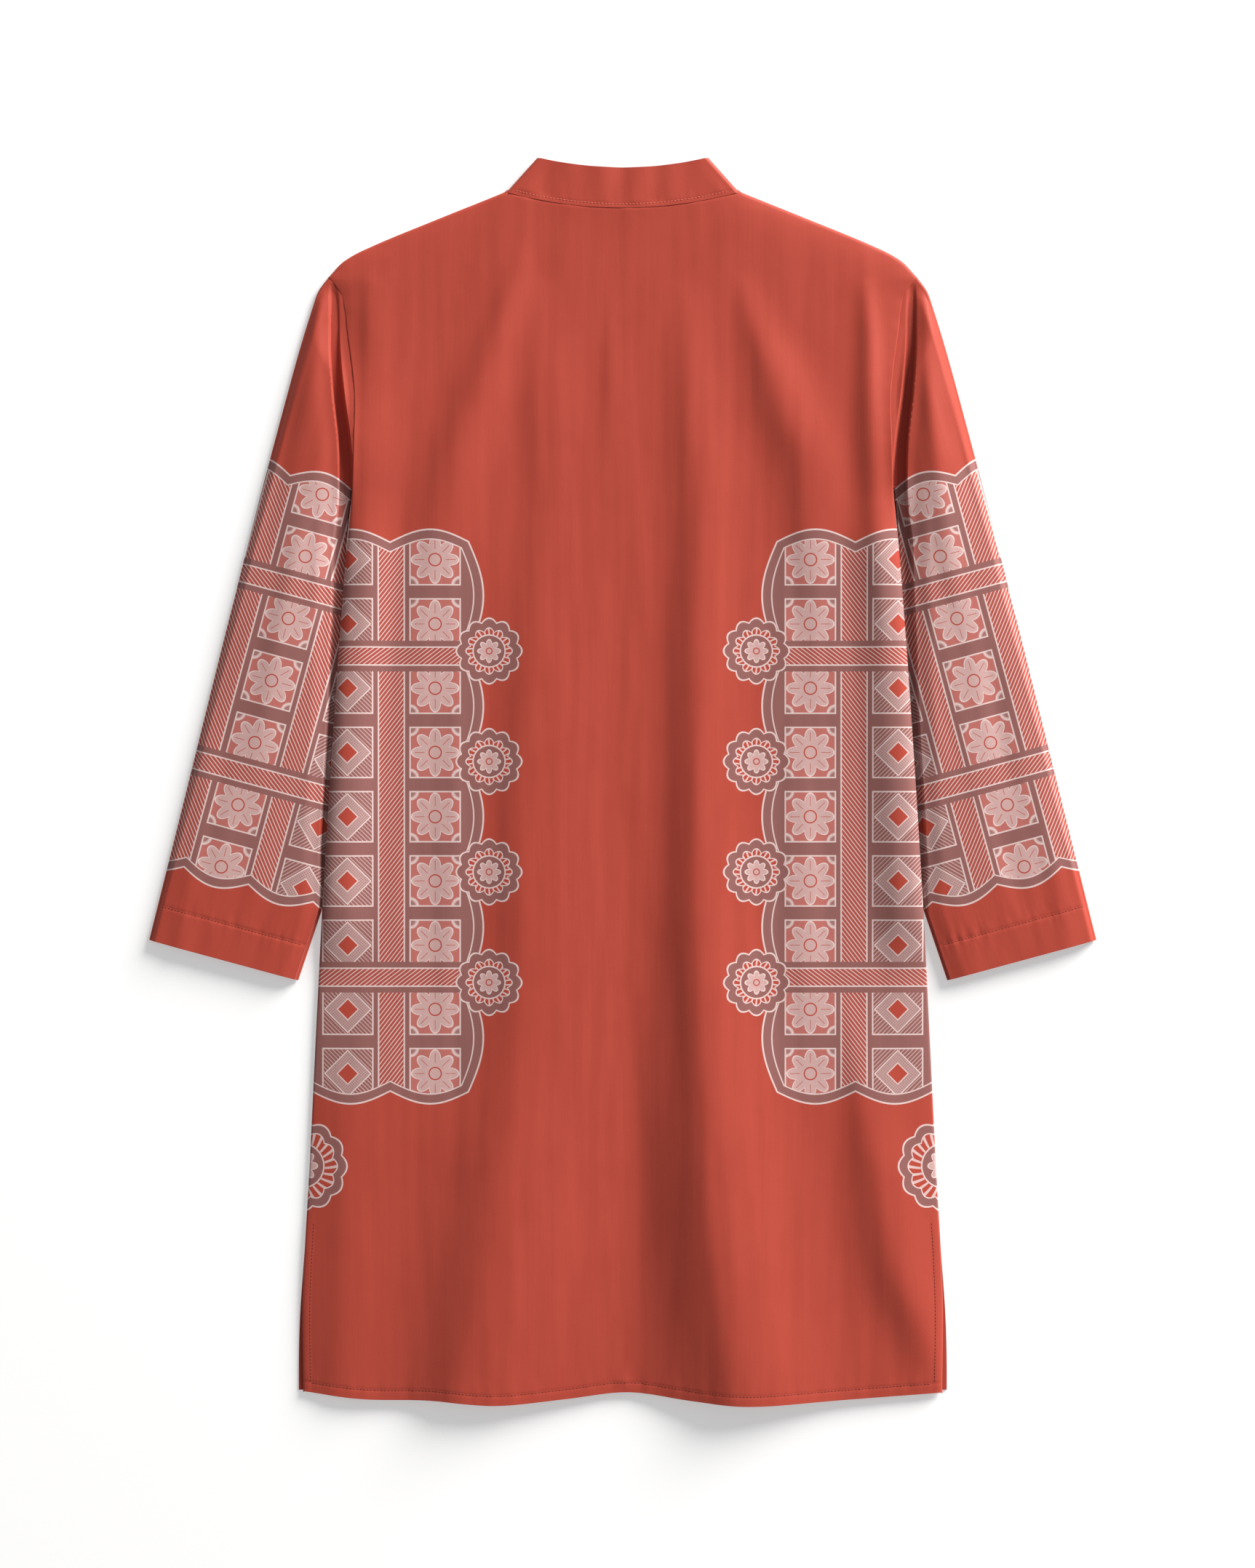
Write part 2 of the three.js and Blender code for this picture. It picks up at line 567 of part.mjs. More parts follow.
function sleeve(side) {
  const normalTo = (edgeX, y, outward) => {
    const slope = (edgeX(y + 1) - edgeX(y - 1)) / 2;
    return new THREE.Vector2(1, -slope).normalize().multiplyScalar(outward);
  };
  const surface = (x, y) => sleeveTop(side * x, y);
  const upperShares = stepsOf(ARMHOLE_STEPS).slice(1, -1);
  const lowerShares = stepsOf(ARMHOLE_STEPS / 2).slice(1, -1).reverse();
  const foldTurns = stepsOf(SLEEVE_GRID.fold).map((t) => lerp(-Math.PI / 2, Math.PI / 2, t));
  const rings = sleeveRings().map((ring) => {
    const innerNormal = normalTo(sleeveInnerX, clamp(ring.innerY, CUFF.innerY + 1, ARMPIT_Y - 1), -1);
    const outerNormal = normalTo(sleeveOuterX, clamp(ring.outerY, CUFF.outerY + 1, SHOULDER_TIP_Y - 1), 1);
    const atTip = Math.max(0, 1 - (SHOULDER_TIP_Y - ring.outerY) / 20) * (EDGE_RADIUS + 2 * SEAM_GAP);
    const innerEnd = new THREE.Vector2(sleeveInnerX(ring.innerY), ring.innerY);
    const outerEnd = new THREE.Vector2(sleeveOuterX(ring.outerY), ring.outerY);
    outerEnd.addScaledVector(outerNormal, atTip);
    const from = innerEnd.clone().addScaledVector(innerNormal, -EDGE_RADIUS);
    const to = outerEnd.clone().addScaledVector(outerNormal, -EDGE_RADIUS);
    const armhole = (t) => new THREE.Vector2(sleeveInnerX(armholeY(1 - t)), armholeY(1 - t));
    const armholeFrom = new THREE.Vector2(sleeveInnerX(ARMPIT_Y) + EDGE_RADIUS, ARMPIT_Y);
    const armholeTo = new THREE.Vector2(SHOULDER[4].x + SEAM_GAP, SHOULDER_TIP_Y);
    const across = (t) => {
      const away = armhole(t).sub(armholeFrom.clone().lerp(armholeTo, t)).multiplyScalar(ring.bulge);
      return from.clone().lerp(to, t).add(away);
    };
    const fold = (centre, normal, radius, turns) =>
      turns.map((turn) => {
        const p = centre.clone().addScaledVector(normal, radius * Math.cos(turn));
        return new THREE.Vector3(side * p.x, p.y, EDGE_RADIUS + radius * Math.sin(turn));
      });
    const layer = (radius, upperZ, lowerZ) => [
      ...fold(from, innerNormal, radius, foldTurns),
      ...upperShares.map(across).map((p) => new THREE.Vector3(side * p.x, p.y, upperZ(p.x, p.y))),
      ...fold(to, outerNormal, radius, [...foldTurns].reverse()),
      ...lowerShares.map(across).map((p) => new THREE.Vector3(side * p.x, p.y, lowerZ)),
    ];
    return {
      outer: layer(EDGE_RADIUS, surface, 0),
      inner: layer(EDGE_RADIUS - CLOTH_WALL, (x, y) => underside(surface, x, y, CLOTH_WALL), CLOTH_WALL),
    };
  });
  return sheetBetween(rings.map((r) => r.outer), rings.map((r) => r.inner), { wraps: true });
}

// The collar band runs from the front opening along the front neck, round a fold at the side, across
// the back neck and round to the front again. Its front lies on the table and its back lies over it.
function collar() {
  const heights = stepsOf(COLLAR_GRID.heights);
  const backShares = stepsOf(COLLAR_GRID.backArc).slice(1, -1);
  const frontShares = stepsOf(COLLAR_GRID.frontArc).slice(0, -1);
  const foldTurns = stepsOf(COLLAR_GRID.fold).map((t) => lerp(-Math.PI / 2, Math.PI / 2, t));
  const loop = (v, inset) => {
    const half = lerp(NECK_HALF, COLLAR_TOP_HALF, v);
    const sideY = lerp(NECK_SIDE_Y + SEAM_GAP, COLLAR_TOP_SIDE_Y, v);
    const frontY = lerp(FRONT_NECK_Y + SEAM_GAP, COLLAR_TOP_FRONT_Y, v);
    const backY = lerp(BACK_NECK_Y + SEAM_GAP, COLLAR_TOP_BACK_Y, v);
    const foldRadius = COLLAR_FOLD_HEIGHT / 2;
    const foldX = half - foldRadius;
    const frontArc = (x) => lerp(frontY, sideY, (Math.abs(x) / half) ** FRONT_NECK_POWER);
    const backArc = (x) => lerp(backY, sideY, (x / half) ** 2);
    const backZ = (x) => lerp(COLLAR_MIDDLE_HEIGHT, COLLAR_FOLD_HEIGHT, (x / foldX) ** 2);
    const frontHalf = (sign) =>
      frontShares.map((t) => {
        const x = lerp(COLLAR_FRONT_GAP / 2, foldX, t);
        return new THREE.Vector3(sign * x, frontArc(x), inset);
      });
    const fold = (sign) =>
      foldTurns.map((turn) => {
        const outerX = foldX + foldRadius * Math.cos(turn);
        const share = (1 + Math.sin(turn)) / 2;
        return new THREE.Vector3(
          sign * (outerX - inset * Math.cos(turn)),
          lerp(frontArc(outerX), backArc(outerX), share),
          foldRadius + (foldRadius - inset) * Math.sin(turn),
        );
      });
    const back = backShares.map((t) => {
      const x = lerp(-foldX, foldX, t);
      return new THREE.Vector3(x, backArc(x), backZ(x) - inset);
    });
    return [...frontHalf(-1), ...fold(-1), ...back, ...fold(1).reverse(), ...frontHalf(1).reverse()];
  };
  return sheetBetween(heights.map((v) => loop(v, 0)), heights.map((v) => loop(v, COLLAR_WALL)));
}

const TERRACOTTA = 0xc1513f;
const cloth = (name, shade = 0) =>
  new THREE.MeshStandardMaterial({
    name,
    color: new THREE.Color(TERRACOTTA).offsetHSL(0, 0, shade),
    roughness: 0.72,
    metalness: 0,
  });

const PIECES = [
  { name: "back_panel", geometry: backPanel(), material: cloth("back cloth") },
  { name: "front_panel", geometry: frontPanel(), material: cloth("front cloth", -0.02) },
  { name: "sleeve_left", geometry: sleeve(-1), material: cloth("left sleeve cloth", 0.01) },
  { name: "sleeve_right", geometry: sleeve(1), material: cloth("right sleeve cloth", 0.01) },
  { name: "collar_band", geometry: collar(), material: cloth("collar cloth", 0.02) },
];

const kurta = new THREE.Group();
kurta.name = "kurta";
for (const { name, geometry, material } of PIECES) {
  const mesh = new THREE.Mesh(geometry, material);
  mesh.name = name;
  kurta.add(mesh);
}

export default kurta;
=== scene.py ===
import math

import bpy
import numpy as np
from bpy.props import FloatProperty, FloatVectorProperty, IntProperty, PointerProperty
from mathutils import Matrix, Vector, noise


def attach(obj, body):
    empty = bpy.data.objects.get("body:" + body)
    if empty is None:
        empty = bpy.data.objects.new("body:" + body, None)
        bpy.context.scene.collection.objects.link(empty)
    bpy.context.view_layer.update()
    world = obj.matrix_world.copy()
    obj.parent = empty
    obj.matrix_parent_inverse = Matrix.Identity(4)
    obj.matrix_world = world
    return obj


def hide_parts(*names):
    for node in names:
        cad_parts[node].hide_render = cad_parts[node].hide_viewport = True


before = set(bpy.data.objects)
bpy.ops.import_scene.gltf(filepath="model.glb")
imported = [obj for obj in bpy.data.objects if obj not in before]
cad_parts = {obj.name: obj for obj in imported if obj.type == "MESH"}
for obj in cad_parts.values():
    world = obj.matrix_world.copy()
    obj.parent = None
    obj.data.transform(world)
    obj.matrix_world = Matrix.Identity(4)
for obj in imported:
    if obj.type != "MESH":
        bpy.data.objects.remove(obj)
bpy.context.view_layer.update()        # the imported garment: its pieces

bl_info = {
    "name": "Flat-laid kurta",
    "version": (1, 0, 0),
    "blender": (4, 5, 0),
    "location": "3D View > Sidebar > Kurta",
    "description": "Cloth, stitching, print and studio of a kurta that lies flat with its back up",
    "category": "Object",
}

# All sizes below are in millimetres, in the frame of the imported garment: X across, Y from hem to
# collar, Z up from the table. The front of the garment lies on the table.
MM = 0.001
SHARP_ANGLE = math.radians(55)

# Half outline of the body as (y, x): down the armhole, then down the side to the hem.
BODY_EDGE = [
    (391.8, 229.8), (380.4, 219.6), (350, 214.8), (302, 208.8), (262, 209.4),
    (228.4, 210.4), (167, 216.2), (42, 225.3), (-126, 235.5), (-298, 244.0),
    (-402, 249.4), (-476, 249.0),
]

# Shoulder line as (x, y), from the neck to the tip of the shoulder.
SHOULDER = [(90.9, 458.9), (141.3, 438.9), (196.3, 416.2), (217.3, 404.8), (229.8, 391.8)]

# Hem of the back panel as (x, y), which waves with its folds.
BACK_HEM = [
    (-249, -475.6), (-200, -481.5), (-146, -482.2), (-98, -485.4), (-45, -481.2),
    (3.7, -476.3), (52.6, -482.0), (96, -485.4), (155, -483.0), (249, -476.6),
]

# Outer edge of a sleeve as (y, x), from the tip of the shoulder to the cuff.
SLEEVE_OUTER = [
    (391.8, 229.8), (382, 236.9), (370.8, 241.1), (336.8, 251.6), (291.4, 264.1),
    (211.9, 285.1), (98.4, 313.8), (-15, 341.9), (-124, 369.1),
]

# Folds, each a table of rows of y, x of its crest, reach to the left, reach to the right, height.
# A trough has a negative height. They die out where the height is 0.
BACK_FOLDS = {
    "right of centre": [
        (390, 50, 9, 16, 0), (300, 54, 15, 22, 2.8), (200, 61, 20, 26, 4.6),
        (100, 58, 21, 28, 5.8), (0, 58, 21, 30, 7.0), (-100, 58, 22, 34, 8.8),
        (-200, 63, 26, 42, 11.0), (-300, 69, 33, 52, 14.0), (-390, 78, 38, 56, 14.8),
        (-490, 95, 46, 56, 14.0),
    ],
    "left of the trough": [
        (60, 8, 14, 12, 0), (-160, 8, 22, 14, -0.6), (-340, 10, 30, 18, -1.6),
        (-490, 6, 34, 20, -1.4),
    ],
    "left of centre": [
        (260, -58, 12, 34, 0), (180, -62, 16, 40, 1.5), (80, -70, 20, 50, 3.4),
        (-60, -75, 22, 56, 4.6), (-200, -78, 26, 60, 5.4), (-300, -90, 37, 62, 8.4),
        (-400, -104, 40, 66, 10.6), (-490, -124, 32, 72, 10.6),
    ],
    "left hip": [
        (-150, -206, 16, 20, 0), (-260, -212, 16, 30, 1.8), (-400, -219, 16, 34, 3.0),
        (-490, -221, 16, 34, 3.2),
    ],
    "right hip": [
        (-170, 180, 12, 20, 0), (-240, 188, 15, 26, 3.0), (-300, 199, 20, 28, 5.8),
        (-380, 216, 23, 32, 7.0), (-440, 246, 24, 34, 6.6), (-490, 278, 26, 36, 6.0),
    ],
    "left shoulder blade": [
        (422, -78, 6, 7, 0), (395, -83, 9, 10, 1.4), (350, -97, 14, 16, 3.2),
        (300, -113, 19, 22, 4.6), (250, -131, 23, 26, 5.0), (190, -146, 24, 26, 3.8),
        (110, -152, 22, 24, 1.2), (30, -154, 20, 22, 0),
    ],
    "right shoulder blade": [
        (395, 92, 7, 10, 0), (350, 104, 12, 17, 2.4), (300, 124, 21, 26, 4.4),
        (250, 142, 21, 28, 5.2), (190, 148, 19, 26, 4.0), (110, 154, 16, 24, 1.2),
        (30, 158, 14, 20, 0),
    ],
    "left of the spine": [
        (390, -62, 8, 18, 0), (340, -63, 11, 22, 1.4), (280, -64, 13, 28, 1.9),
        (210, -62, 13, 30, 0),
    ],
    "spine": [
        (385, -10, 3, 8, 0), (340, -10, 5, 12, 0.5), (290, -10, 6, 14, 0.6),
        (240, -10, 5, 12, 0),
    ],
    "left armhole": [
        (396, -197, 5, 12, 0.8), (350, -198, 6, 15, 3.0), (300, -199, 6, 18, 3.0),
        (250, -199, 7, 20, 2.8), (180, -199, 9, 20, 1.8), (80, -206, 9, 18, 0),
    ],
    "right armhole": [
        (392, 189, 7, 8, 0.8), (345, 193, 9, 8, 5.2), (300, 194, 10, 9, 7.0),
        (250, 196, 11, 10, 6.6), (180, 200, 10, 10, 3.2), (80, 206, 9, 10, 0),
    ],
    "left flank": [
        (120, -128, 10, 12, 0), (20, -130, 12, 14, 0.8), (-120, -134, 12, 16, 0.8),
        (-220, -138, 12, 16, 0),
    ],
    "right flank": [
        (60, 138, 10, 12, 0), (-40, 140, 12, 14, 0.9), (-150, 144, 12, 16, 0.9),
        (-230, 150, 12, 16, 0),
    ],
}
SLEEVE_FOLDS = {
    "left outer": [
        (372, -244, 7, 7, 0), (345, -246, 8, 8, -1.6),
        (240, -267, 10, 10, -1.8), (130, -288, 12, 12, 0),
    ],
    "left elbow": [
        (220, -249, 9, 9, 0), (160, -256, 10, 12, 1.4),
        (60, -276, 12, 14, 1.6), (-40, -292, 14, 14, 0),
    ],
    "left cuff": [
        (60, -318, 6, 7, 0), (0, -324, 7, 8, 0.8),
        (-90, -338, 8, 9, 1.0), (-156, -350, 8, 9, 0.8),
    ],
    "right ridge": [
        (380, 229, 5, 6, 0), (350, 233, 6, 7, 2.0),
        (240, 246, 9, 10, 2.4), (120, 262, 12, 12, 0),
    ],
    "right outer": [
        (366, 246, 4, 5, 0), (330, 252, 5, 6, -1.0),
        (240, 268, 7, 8, -1.2), (160, 282, 8, 8, 0),
    ],
    "right elbow": [
        (110, 283, 8, 9, 0), (60, 291, 10, 11, -1.4),
        (-40, 304, 13, 13, -1.2), (-110, 316, 14, 14, 0),
    ],
    "right cuff": [
        (40, 322, 6, 7, 0), (-20, 329, 7, 8, 0.8),
        (-100, 342, 8, 9, 0.9), (-156, 352, 8, 9, 0.7),
    ],
}

# Neck, collar and front opening.
NECK_HALF, NECK_SIDE_Y, BACK_NECK_Y = 90.9, 458.9, 447.1
FRONT_NECK_Y, FRONT_NECK_POWER = 388, 2.2
COLLAR_TOP_HALF, COLLAR_TOP_SIDE_Y, COLLAR_TOP_BACK_Y, COLLAR_TOP_FRONT_Y = 66.6, 485.4, 477.5, 421
COLLAR_FOLD_HEIGHT, COLLAR_MIDDLE_HEIGHT, COLLAR_WIDTH, COLLAR_STITCH_HEIGHT = 6.6, 7.2, 32, 3.0
COLLAR_GAP_HALF, COLLAR_FRONT_POINTS, COLLAR_TURN_POINTS, COLLAR_BACK_POINTS = 0.6, 39, 15, 138
FRONT_SLIT_END_Y, FRONT_SLIT_HALF, FRONT_DROP = 190, 0.5, 0.6

# Body: seam heights, rise of the back panel, side slits and hems.
SIDE_SEAM_HEIGHT, LOFT, LOFT_REACH, FOLD_REACH = 3.3, 2.6, 12, 24
NECK_RISE, NECK_RISE_REACH, NECKLINE_RISE = 2.4, 32, 1.5
SIDE_PUFF, SIDE_PUFF_EDGE, SIDE_PUFF_REACH, SIDE_PUFF_RAMP = 4, 4.5, 30, 90
ARMHOLE_RISE, ARMHOLE_RISE_Y, ARMHOLE_RISE_SPAN, ARMHOLE_RISE_REACH = 7.8, 262, 62, 20
SIDE_LIFT, LIFT_FLAT_REACH, LIFT_REACH, LIFT_RAMP, LIFT_LOWER_Y = 4.0, 16, 46, 66, -162
SIDE_SLIT_TOP_Y, FRONT_PANEL_PEEK, FRONT_HEM_Y = -352, 3.6, -475
HEM_DEPTH, HEM_STITCH_DEPTH, HEM_GROOVE, HEM_GROOVE_WIDTH = 9, 7.6, 0.22, 1.1
SLIT_HEM_DEPTH, SLIT_STITCH_DEPTH, SLIT_GROOVE, SLIT_GROOVE_WIDTH, SLIT_PROUD = 7.4, 6.2, 0.25, 1.2, 0.35
SLIT_STEP = 1.4
HEM_EXTRA, HEM_STITCH_HALF = 0.6, 242
NECKLINE_REACH, NECKLINE_HALF, COLLAR_LAP, COLLAR_SINK, COLLAR_SINK_START = 14, 42, 1.5, 0.9, 2.2
EDGE_ROUND, SLEEVE_SIDE_ROUND, ARMHOLE_ROUND = 1.5, 2.4, 0.7

# Columns and rows of the body panels, as insets from the side and counts.
EDGE_INSETS = [0, 0.25, 0.6, 1.0, 1.5, 2.4, 3.6, 4.8, 6.0, 7.2, 8.6, 10.5]
BACK_FIRST_COLUMN, BACK_COLUMN_PITCH, ARMHOLE_ROWS = 13, 2.7, 46
FRONT_INSETS = [0, 2, 6, 12, 20]

# Sleeve: edges, heights, the stretch tucked under the body and the hem.
ARMPIT_Y, SHOULDER_TIP_X, SHOULDER_TIP_Y, SEAM_GAP, EDGE_RADIUS = 228.4, 229.8, 391.8, 0.5, 1.8
FAN_OUTER_Y, FAN_INNER_Y = 172, 151
CUFF_OUTER_Y, CUFF_INNER_X, CUFF_INNER_Y = -124, 252.9, -155.6
TUCK_DEPTH, TUCK_START_Y, TUCK_RAMP, INNER_EDGE_SLOPE = 12, 184, 55, 0.337
SLEEVE_TOP, SLEEVE_CUFF_TOP, SEAM_LAP, CAP_DROP, CAP_LOWER_Y, CAP_RAMP = 13.8, 8.6, 0.6, 2.6, 290, 70
EDGE_SHARE, EDGE_REACH, CUFF_EDGE_REACH, OUTER_REACH = 0.62, 7, 3, 42
SEAM_STRIP, LOWEST_TOP = 4, 2.2
SEAM_REACH = [(391.8, 28), (345, 24), (305, 13), (228, 9)]
JOIN_LOW_Y, JOIN_HIGH_Y = 186, 232

# Crevice between the ridge of a sleeve and its armhole seam, as (y, x, half width, depth). Its walls
# are steep, and the lip on the side of the ridge leans over it.
CREVICE = [
    (388, 226, 0.8, 0),
    (366, 226, 1.2, 3.5),
    (336, 226, 1.8, 8.0),
    (300, 223, 2.6, 9.5),
    (262, 218.5, 3.2, 10.0),
    (228, 217, 4.2, 10.0),
    (196, 218.5, 4.2, 9.0),
]
CREVICE_WALL, CREVICE_SEAM_WALL, CREVICE_DEEPEST = 2.0, 4.5, 10
LIP_LEAN, LIP_LEAN_REACH, LIP_DROP, LIP_REACH = 2.0, 2.4, 2.0, 9

# Flat bottom of the valley of a sleeve beside the body, as (y, width), and the two slopes out of it:
# a steep one to a share of the height, and a long one.
VALLEY = [(240, 9), (184, 8), (150, 6), (113, 5), (60, 3), (-50, 2), (-90, 0), (-160, 0)]
VALLEY_DROP, VALLEY_END_Y, WALL_SHARE, WALL_REACH, SLOPE_REACH = 1.4, -90, 0.6, 2.6, 16
SLEEVE_HEM_DEPTH, SLEEVE_HEM_PROUD, SLEEVE_HEM_STEP = 29, 0.15, 2
CUFF_STITCH_DEPTH, CUFF_GROOVE, CUFF_GROOVE_WIDTH = 28, 0.3, 1.3


def a_length(name, description, metres):
    return FloatProperty(name=name, description=description, default=metres, unit="LENGTH", precision=5)


def an_angle(name, description, degrees):
    return FloatProperty(name=name, description=description, default=math.radians(degrees), subtype="ANGLE")


def a_colour(name, description, linear):
    return FloatVectorProperty(name=name, description=description, default=linear, subtype="COLOR")


class CutSizes(bpy.types.PropertyGroup):
    """Sizes of the cloth and of the sewing on it."""

    cloth: a_length("Cloth", "Thickness of the cloth", 0.8 * MM)
    collar: a_length("Collar", "Thickness of the doubled band", 1.5 * MM)
    stitch: a_length("Stitch", "Length of one stitch", 2.0 * MM)
    stitch_pitch: a_length("Stitch pitch", "From one stitch to the next", 2.7 * MM)
    thread: a_length("Thread", "Half the thickness of the thread", 0.22 * MM)
    pucker: a_length("Pucker", "Height of the puckers along stitching", 0.45 * MM)
    undulation: a_length("Undulation", "Height of the faint waves in the cloth", 0.5 * MM)
    body_rows: IntProperty(name="Body rows", description="Rows of the back panel's mesh", default=150, min=20)


class ClothColours(bpy.types.PropertyGroup):
    """Colours of the dyed cloth, its print and its thread; the collar's thread is paler than the cloth as a
    painted highlight.
    """

    ground: a_colour("Ground", "Terracotta dye of the cloth", (0.40, 0.057, 0.036))
    ground_deep: a_colour("Deep ground", "Darker streaks of the dye", (0.33, 0.040, 0.025))
    band: a_colour("Bands", "Mauve bands of the print", (0.25, 0.103, 0.094))
    fill: a_colour("Fills", "Pale fills of the print", (0.53, 0.335, 0.318))
    outline: a_colour("Outlines", "Fine lines of the print", (0.66, 0.50, 0.48))
    net: a_colour("Net", "Netted grounds of the print", (0.33, 0.19, 0.18))
    thread: a_colour("Thread", "Thread of the hems and slits", (0.20, 0.030, 0.020))
    # The collar's thread: its own colour, made paler than the cloth to paint the highlights on its stitches.
    collar_thread_highlight: a_colour("Collar thread and highlight", "Thread of the collar, paler as a painted highlight", (0.66, 0.16, 0.11))


class StudioSettings(bpy.types.PropertyGroup):
    """Camera and lights above the table."""

    camera_height: a_length("Camera height", "From the table to the lens", 3.0)
    view_height: a_length("View height", "Height of table that the picture takes in", 1.2233)
    key_power: FloatProperty(name="Key", description="Power of the large lamp, in watts", default=2088.0)
    key_distance: a_length("Key distance", "From the garment to the lamp", 9.0)
    key_size: a_length("Key size", "Width of the round lamp", 5.2)
    key_elevation: an_angle("Key elevation", "Height of the lamp over the table", 20.5)
    key_azimuth: an_angle("Key azimuth", "Side that the lamp stands on", 46)
    fill: FloatProperty(name="Fill", description="Brightness of the white room", default=0.30)


def through(rows, at):
    """A smooth curve through the rows of a table, at one number or many."""
    keys, values = (np.array(numbers, float) for numbers in zip(*sorted(rows)))
    slopes = np.empty_like(values)
    slopes[1:-1] = (values[2:] - values[:-2]) / (keys[2:] - keys[:-2])
    slopes[0] = (values[1] - values[0]) / (keys[1] - keys[0])
    slopes[-1] = (values[-1] - values[-2]) / (keys[-1] - keys[-2])
    at = np.clip(at, keys[0], keys[-1])
    k = np.clip(np.searchsorted(keys, at) - 1, 0, len(keys) - 2)
    span = keys[k + 1] - keys[k]
    t = (at - keys[k]) / span
    pull = t * (1 - t) ** 2 * span * slopes[k] + t * t * (t - 1) * span * slopes[k + 1]
    return mix(values[k], values[k + 1], smooth(t)) + pull


def column_at(rows, n, at):
    """The nth column of a table of rows that start with y, as a smooth curve."""
    return through([(row[0], row[n]) for row in rows], at)


def mix(a, b, t):
    return a + (b - a) * t


def smooth(t):
    t = np.clip(t, 0, 1)
    return t * t * (3 - 2 * t)


def bell(off, reach):
    return np.exp(-((off / reach) ** 2))


def joined(*parts):
    """Points from arrays of their coordinates."""
    return np.stack(parts, -1)


def body_half(y):
    return through(BODY_EDGE, y)


def shoulder_y(x):
    return through(SHOULDER, np.abs(x))


def back_hem_y(x):
    return through(BACK_HEM, x)


def sleeve_outer_x(y):
    return through(SLEEVE_OUTER, y)


def distance_to(line, x, y):
    """Distance in plan from points to a line of points."""
    start, step = line[:-1], np.diff(line, axis=0)
    away = np.stack([np.ravel(x), np.ravel(y)], 1)[:, None, :] - start
    length = np.maximum((step**2).sum(1), 1e-9)
    t = np.clip((away * step).sum(2) / length, 0, 1)
    off = away - t[..., None] * step
    return np.sqrt((off**2).sum(2).min(1)).reshape(np.shape(x))


def fold_height(folds, x, y):
    """Height that a table of folds adds at points in plan."""
    total = np.zeros(np.shape(x))
    for rows in folds.values():
        crest, left, right, height = (column_at(rows, n, y) for n in range(1, 5))
        off = x - crest
        total += height * bell(off, np.where(off < 0, left, right))
    return total


def soft_noise(u, v, place=0.0):
    """Smooth noise between about -0.5 and 0.5, the same on each run."""
    flat = zip(np.ravel(u).tolist(), np.ravel(v).tolist())
    return np.array([noise.noise(Vector((a, b, place))) for a, b in flat]).reshape(np.shape(u))


def walked_along(line):
    """Distance walked along a line of points, at each of them."""
    return np.concatenate([[0], np.cumsum(np.linalg.norm(np.diff(line, axis=0), axis=1))])


def line_of(x_of_y, top, bottom, steps=60):
    y = np.linspace(top, bottom, steps + 1)
    return np.stack([x_of_y(y), y], 1)


SHOULDER_X = np.linspace(NECK_HALF, SHOULDER_TIP_X, 29)
BODY_LINE = np.vstack([
    np.stack([SHOULDER_X, shoulder_y(SHOULDER_X)], 1),
    line_of(body_half, SHOULDER_TIP_Y, FRONT_HEM_Y),
])


def over_sleeve(y, ramp, top=ARMPIT_Y):
    """1 where the side of the body lies on the tucked sleeve, ramping to 0 above and below."""
    return smooth((top - y) / ramp) * smooth((y - LIFT_LOWER_Y) / ramp)


def side_lift(x, y):
    """Height by which the side of the body is lifted by the sleeve tucked under it."""
    nearness = smooth((LIFT_REACH - body_half(y) + np.abs(x)) / (LIFT_REACH - LIFT_FLAT_REACH))
    return SIDE_LIFT * over_sleeve(y, LIFT_RAMP) * nearness


def side_puff(to_seam, y):
    """Height of the full, rounded side of the back panel, beside the sleeve."""
    rounded = (1 - np.exp(-to_seam / SIDE_PUFF_EDGE)) * bell(to_seam, SIDE_PUFF_REACH)
    return SIDE_PUFF * over_sleeve(y, SIDE_PUFF_RAMP, top=ARMPIT_Y + 20) * rounded


def armhole_rise(y):
    return ARMHOLE_RISE * bell(y - ARMHOLE_RISE_Y, ARMHOLE_RISE_SPAN)


def back_top(x, y, sizes):
    """Top of the back panel over points in plan."""
    to_seam = distance_to(BODY_LINE, np.abs(x), y)
    to_neck = np.hypot(np.abs(x) - NECK_HALF, y - NECK_SIDE_Y)
    to_hem = y - back_hem_y(x)
    folds = fold_height(BACK_FOLDS, x, y)
    waves = sizes.undulation / MM * (soft_noise(x / 26, y / 150) + 0.5 * soft_noise(x / 9, y / 90, 4))
    to_neckline = np.maximum(0, BACK_NECK_Y + 6 - y + 0 * x)
    at_hem = np.exp(-np.abs(to_hem - 8) / 7) * (1 + 1.6 * bell(x - 8, 34))
    at_neck = 0.3 * np.exp(-to_neckline / 9) * (np.abs(x) < NECK_HALF)
    at_armhole = 0.6 * np.exp(-to_seam / 8) * smooth((y - 150) / 60)
    puckers = sizes.pucker / MM * (
        at_hem * soft_noise(x / 5.5, y / 30, 9)
        + at_neck * soft_noise(x / 6, y / 25, 5)
        + at_armhole * soft_noise(x / 25, y / 7, 6)
    )
    hem_groove = -HEM_GROOVE * bell(to_hem - HEM_STITCH_DEPTH, HEM_GROOVE_WIDTH)
    inset = body_half(y) - np.abs(x)
    in_slit = smooth((SIDE_SLIT_TOP_Y + 20 - y) / 30)
    slit_groove = -SLIT_GROOVE * in_slit * bell(inset - SLIT_STITCH_DEPTH, SLIT_GROOVE_WIDTH)
    slit_step = SLIT_PROUD * in_slit * smooth((SLIT_HEM_DEPTH - inset) / SLIT_STEP)
    return (
        SIDE_SEAM_HEIGHT
        + LOFT * (1 - np.exp(-to_seam / LOFT_REACH))
        + (folds + waves) * (1 - np.exp(-to_seam / FOLD_REACH))
        + NECK_RISE * np.exp(-to_neck / NECK_RISE_REACH)
        + armhole_rise(y) * np.exp(-to_seam / ARMHOLE_RISE_REACH)
        + side_lift(x, y)
        + side_puff(to_seam, y)
        + NECKLINE_RISE * np.exp(-to_neckline / NECKLINE_REACH - (x / NECKLINE_HALF) ** 2)
        + hem_groove + slit_groove + slit_step + puckers
    )


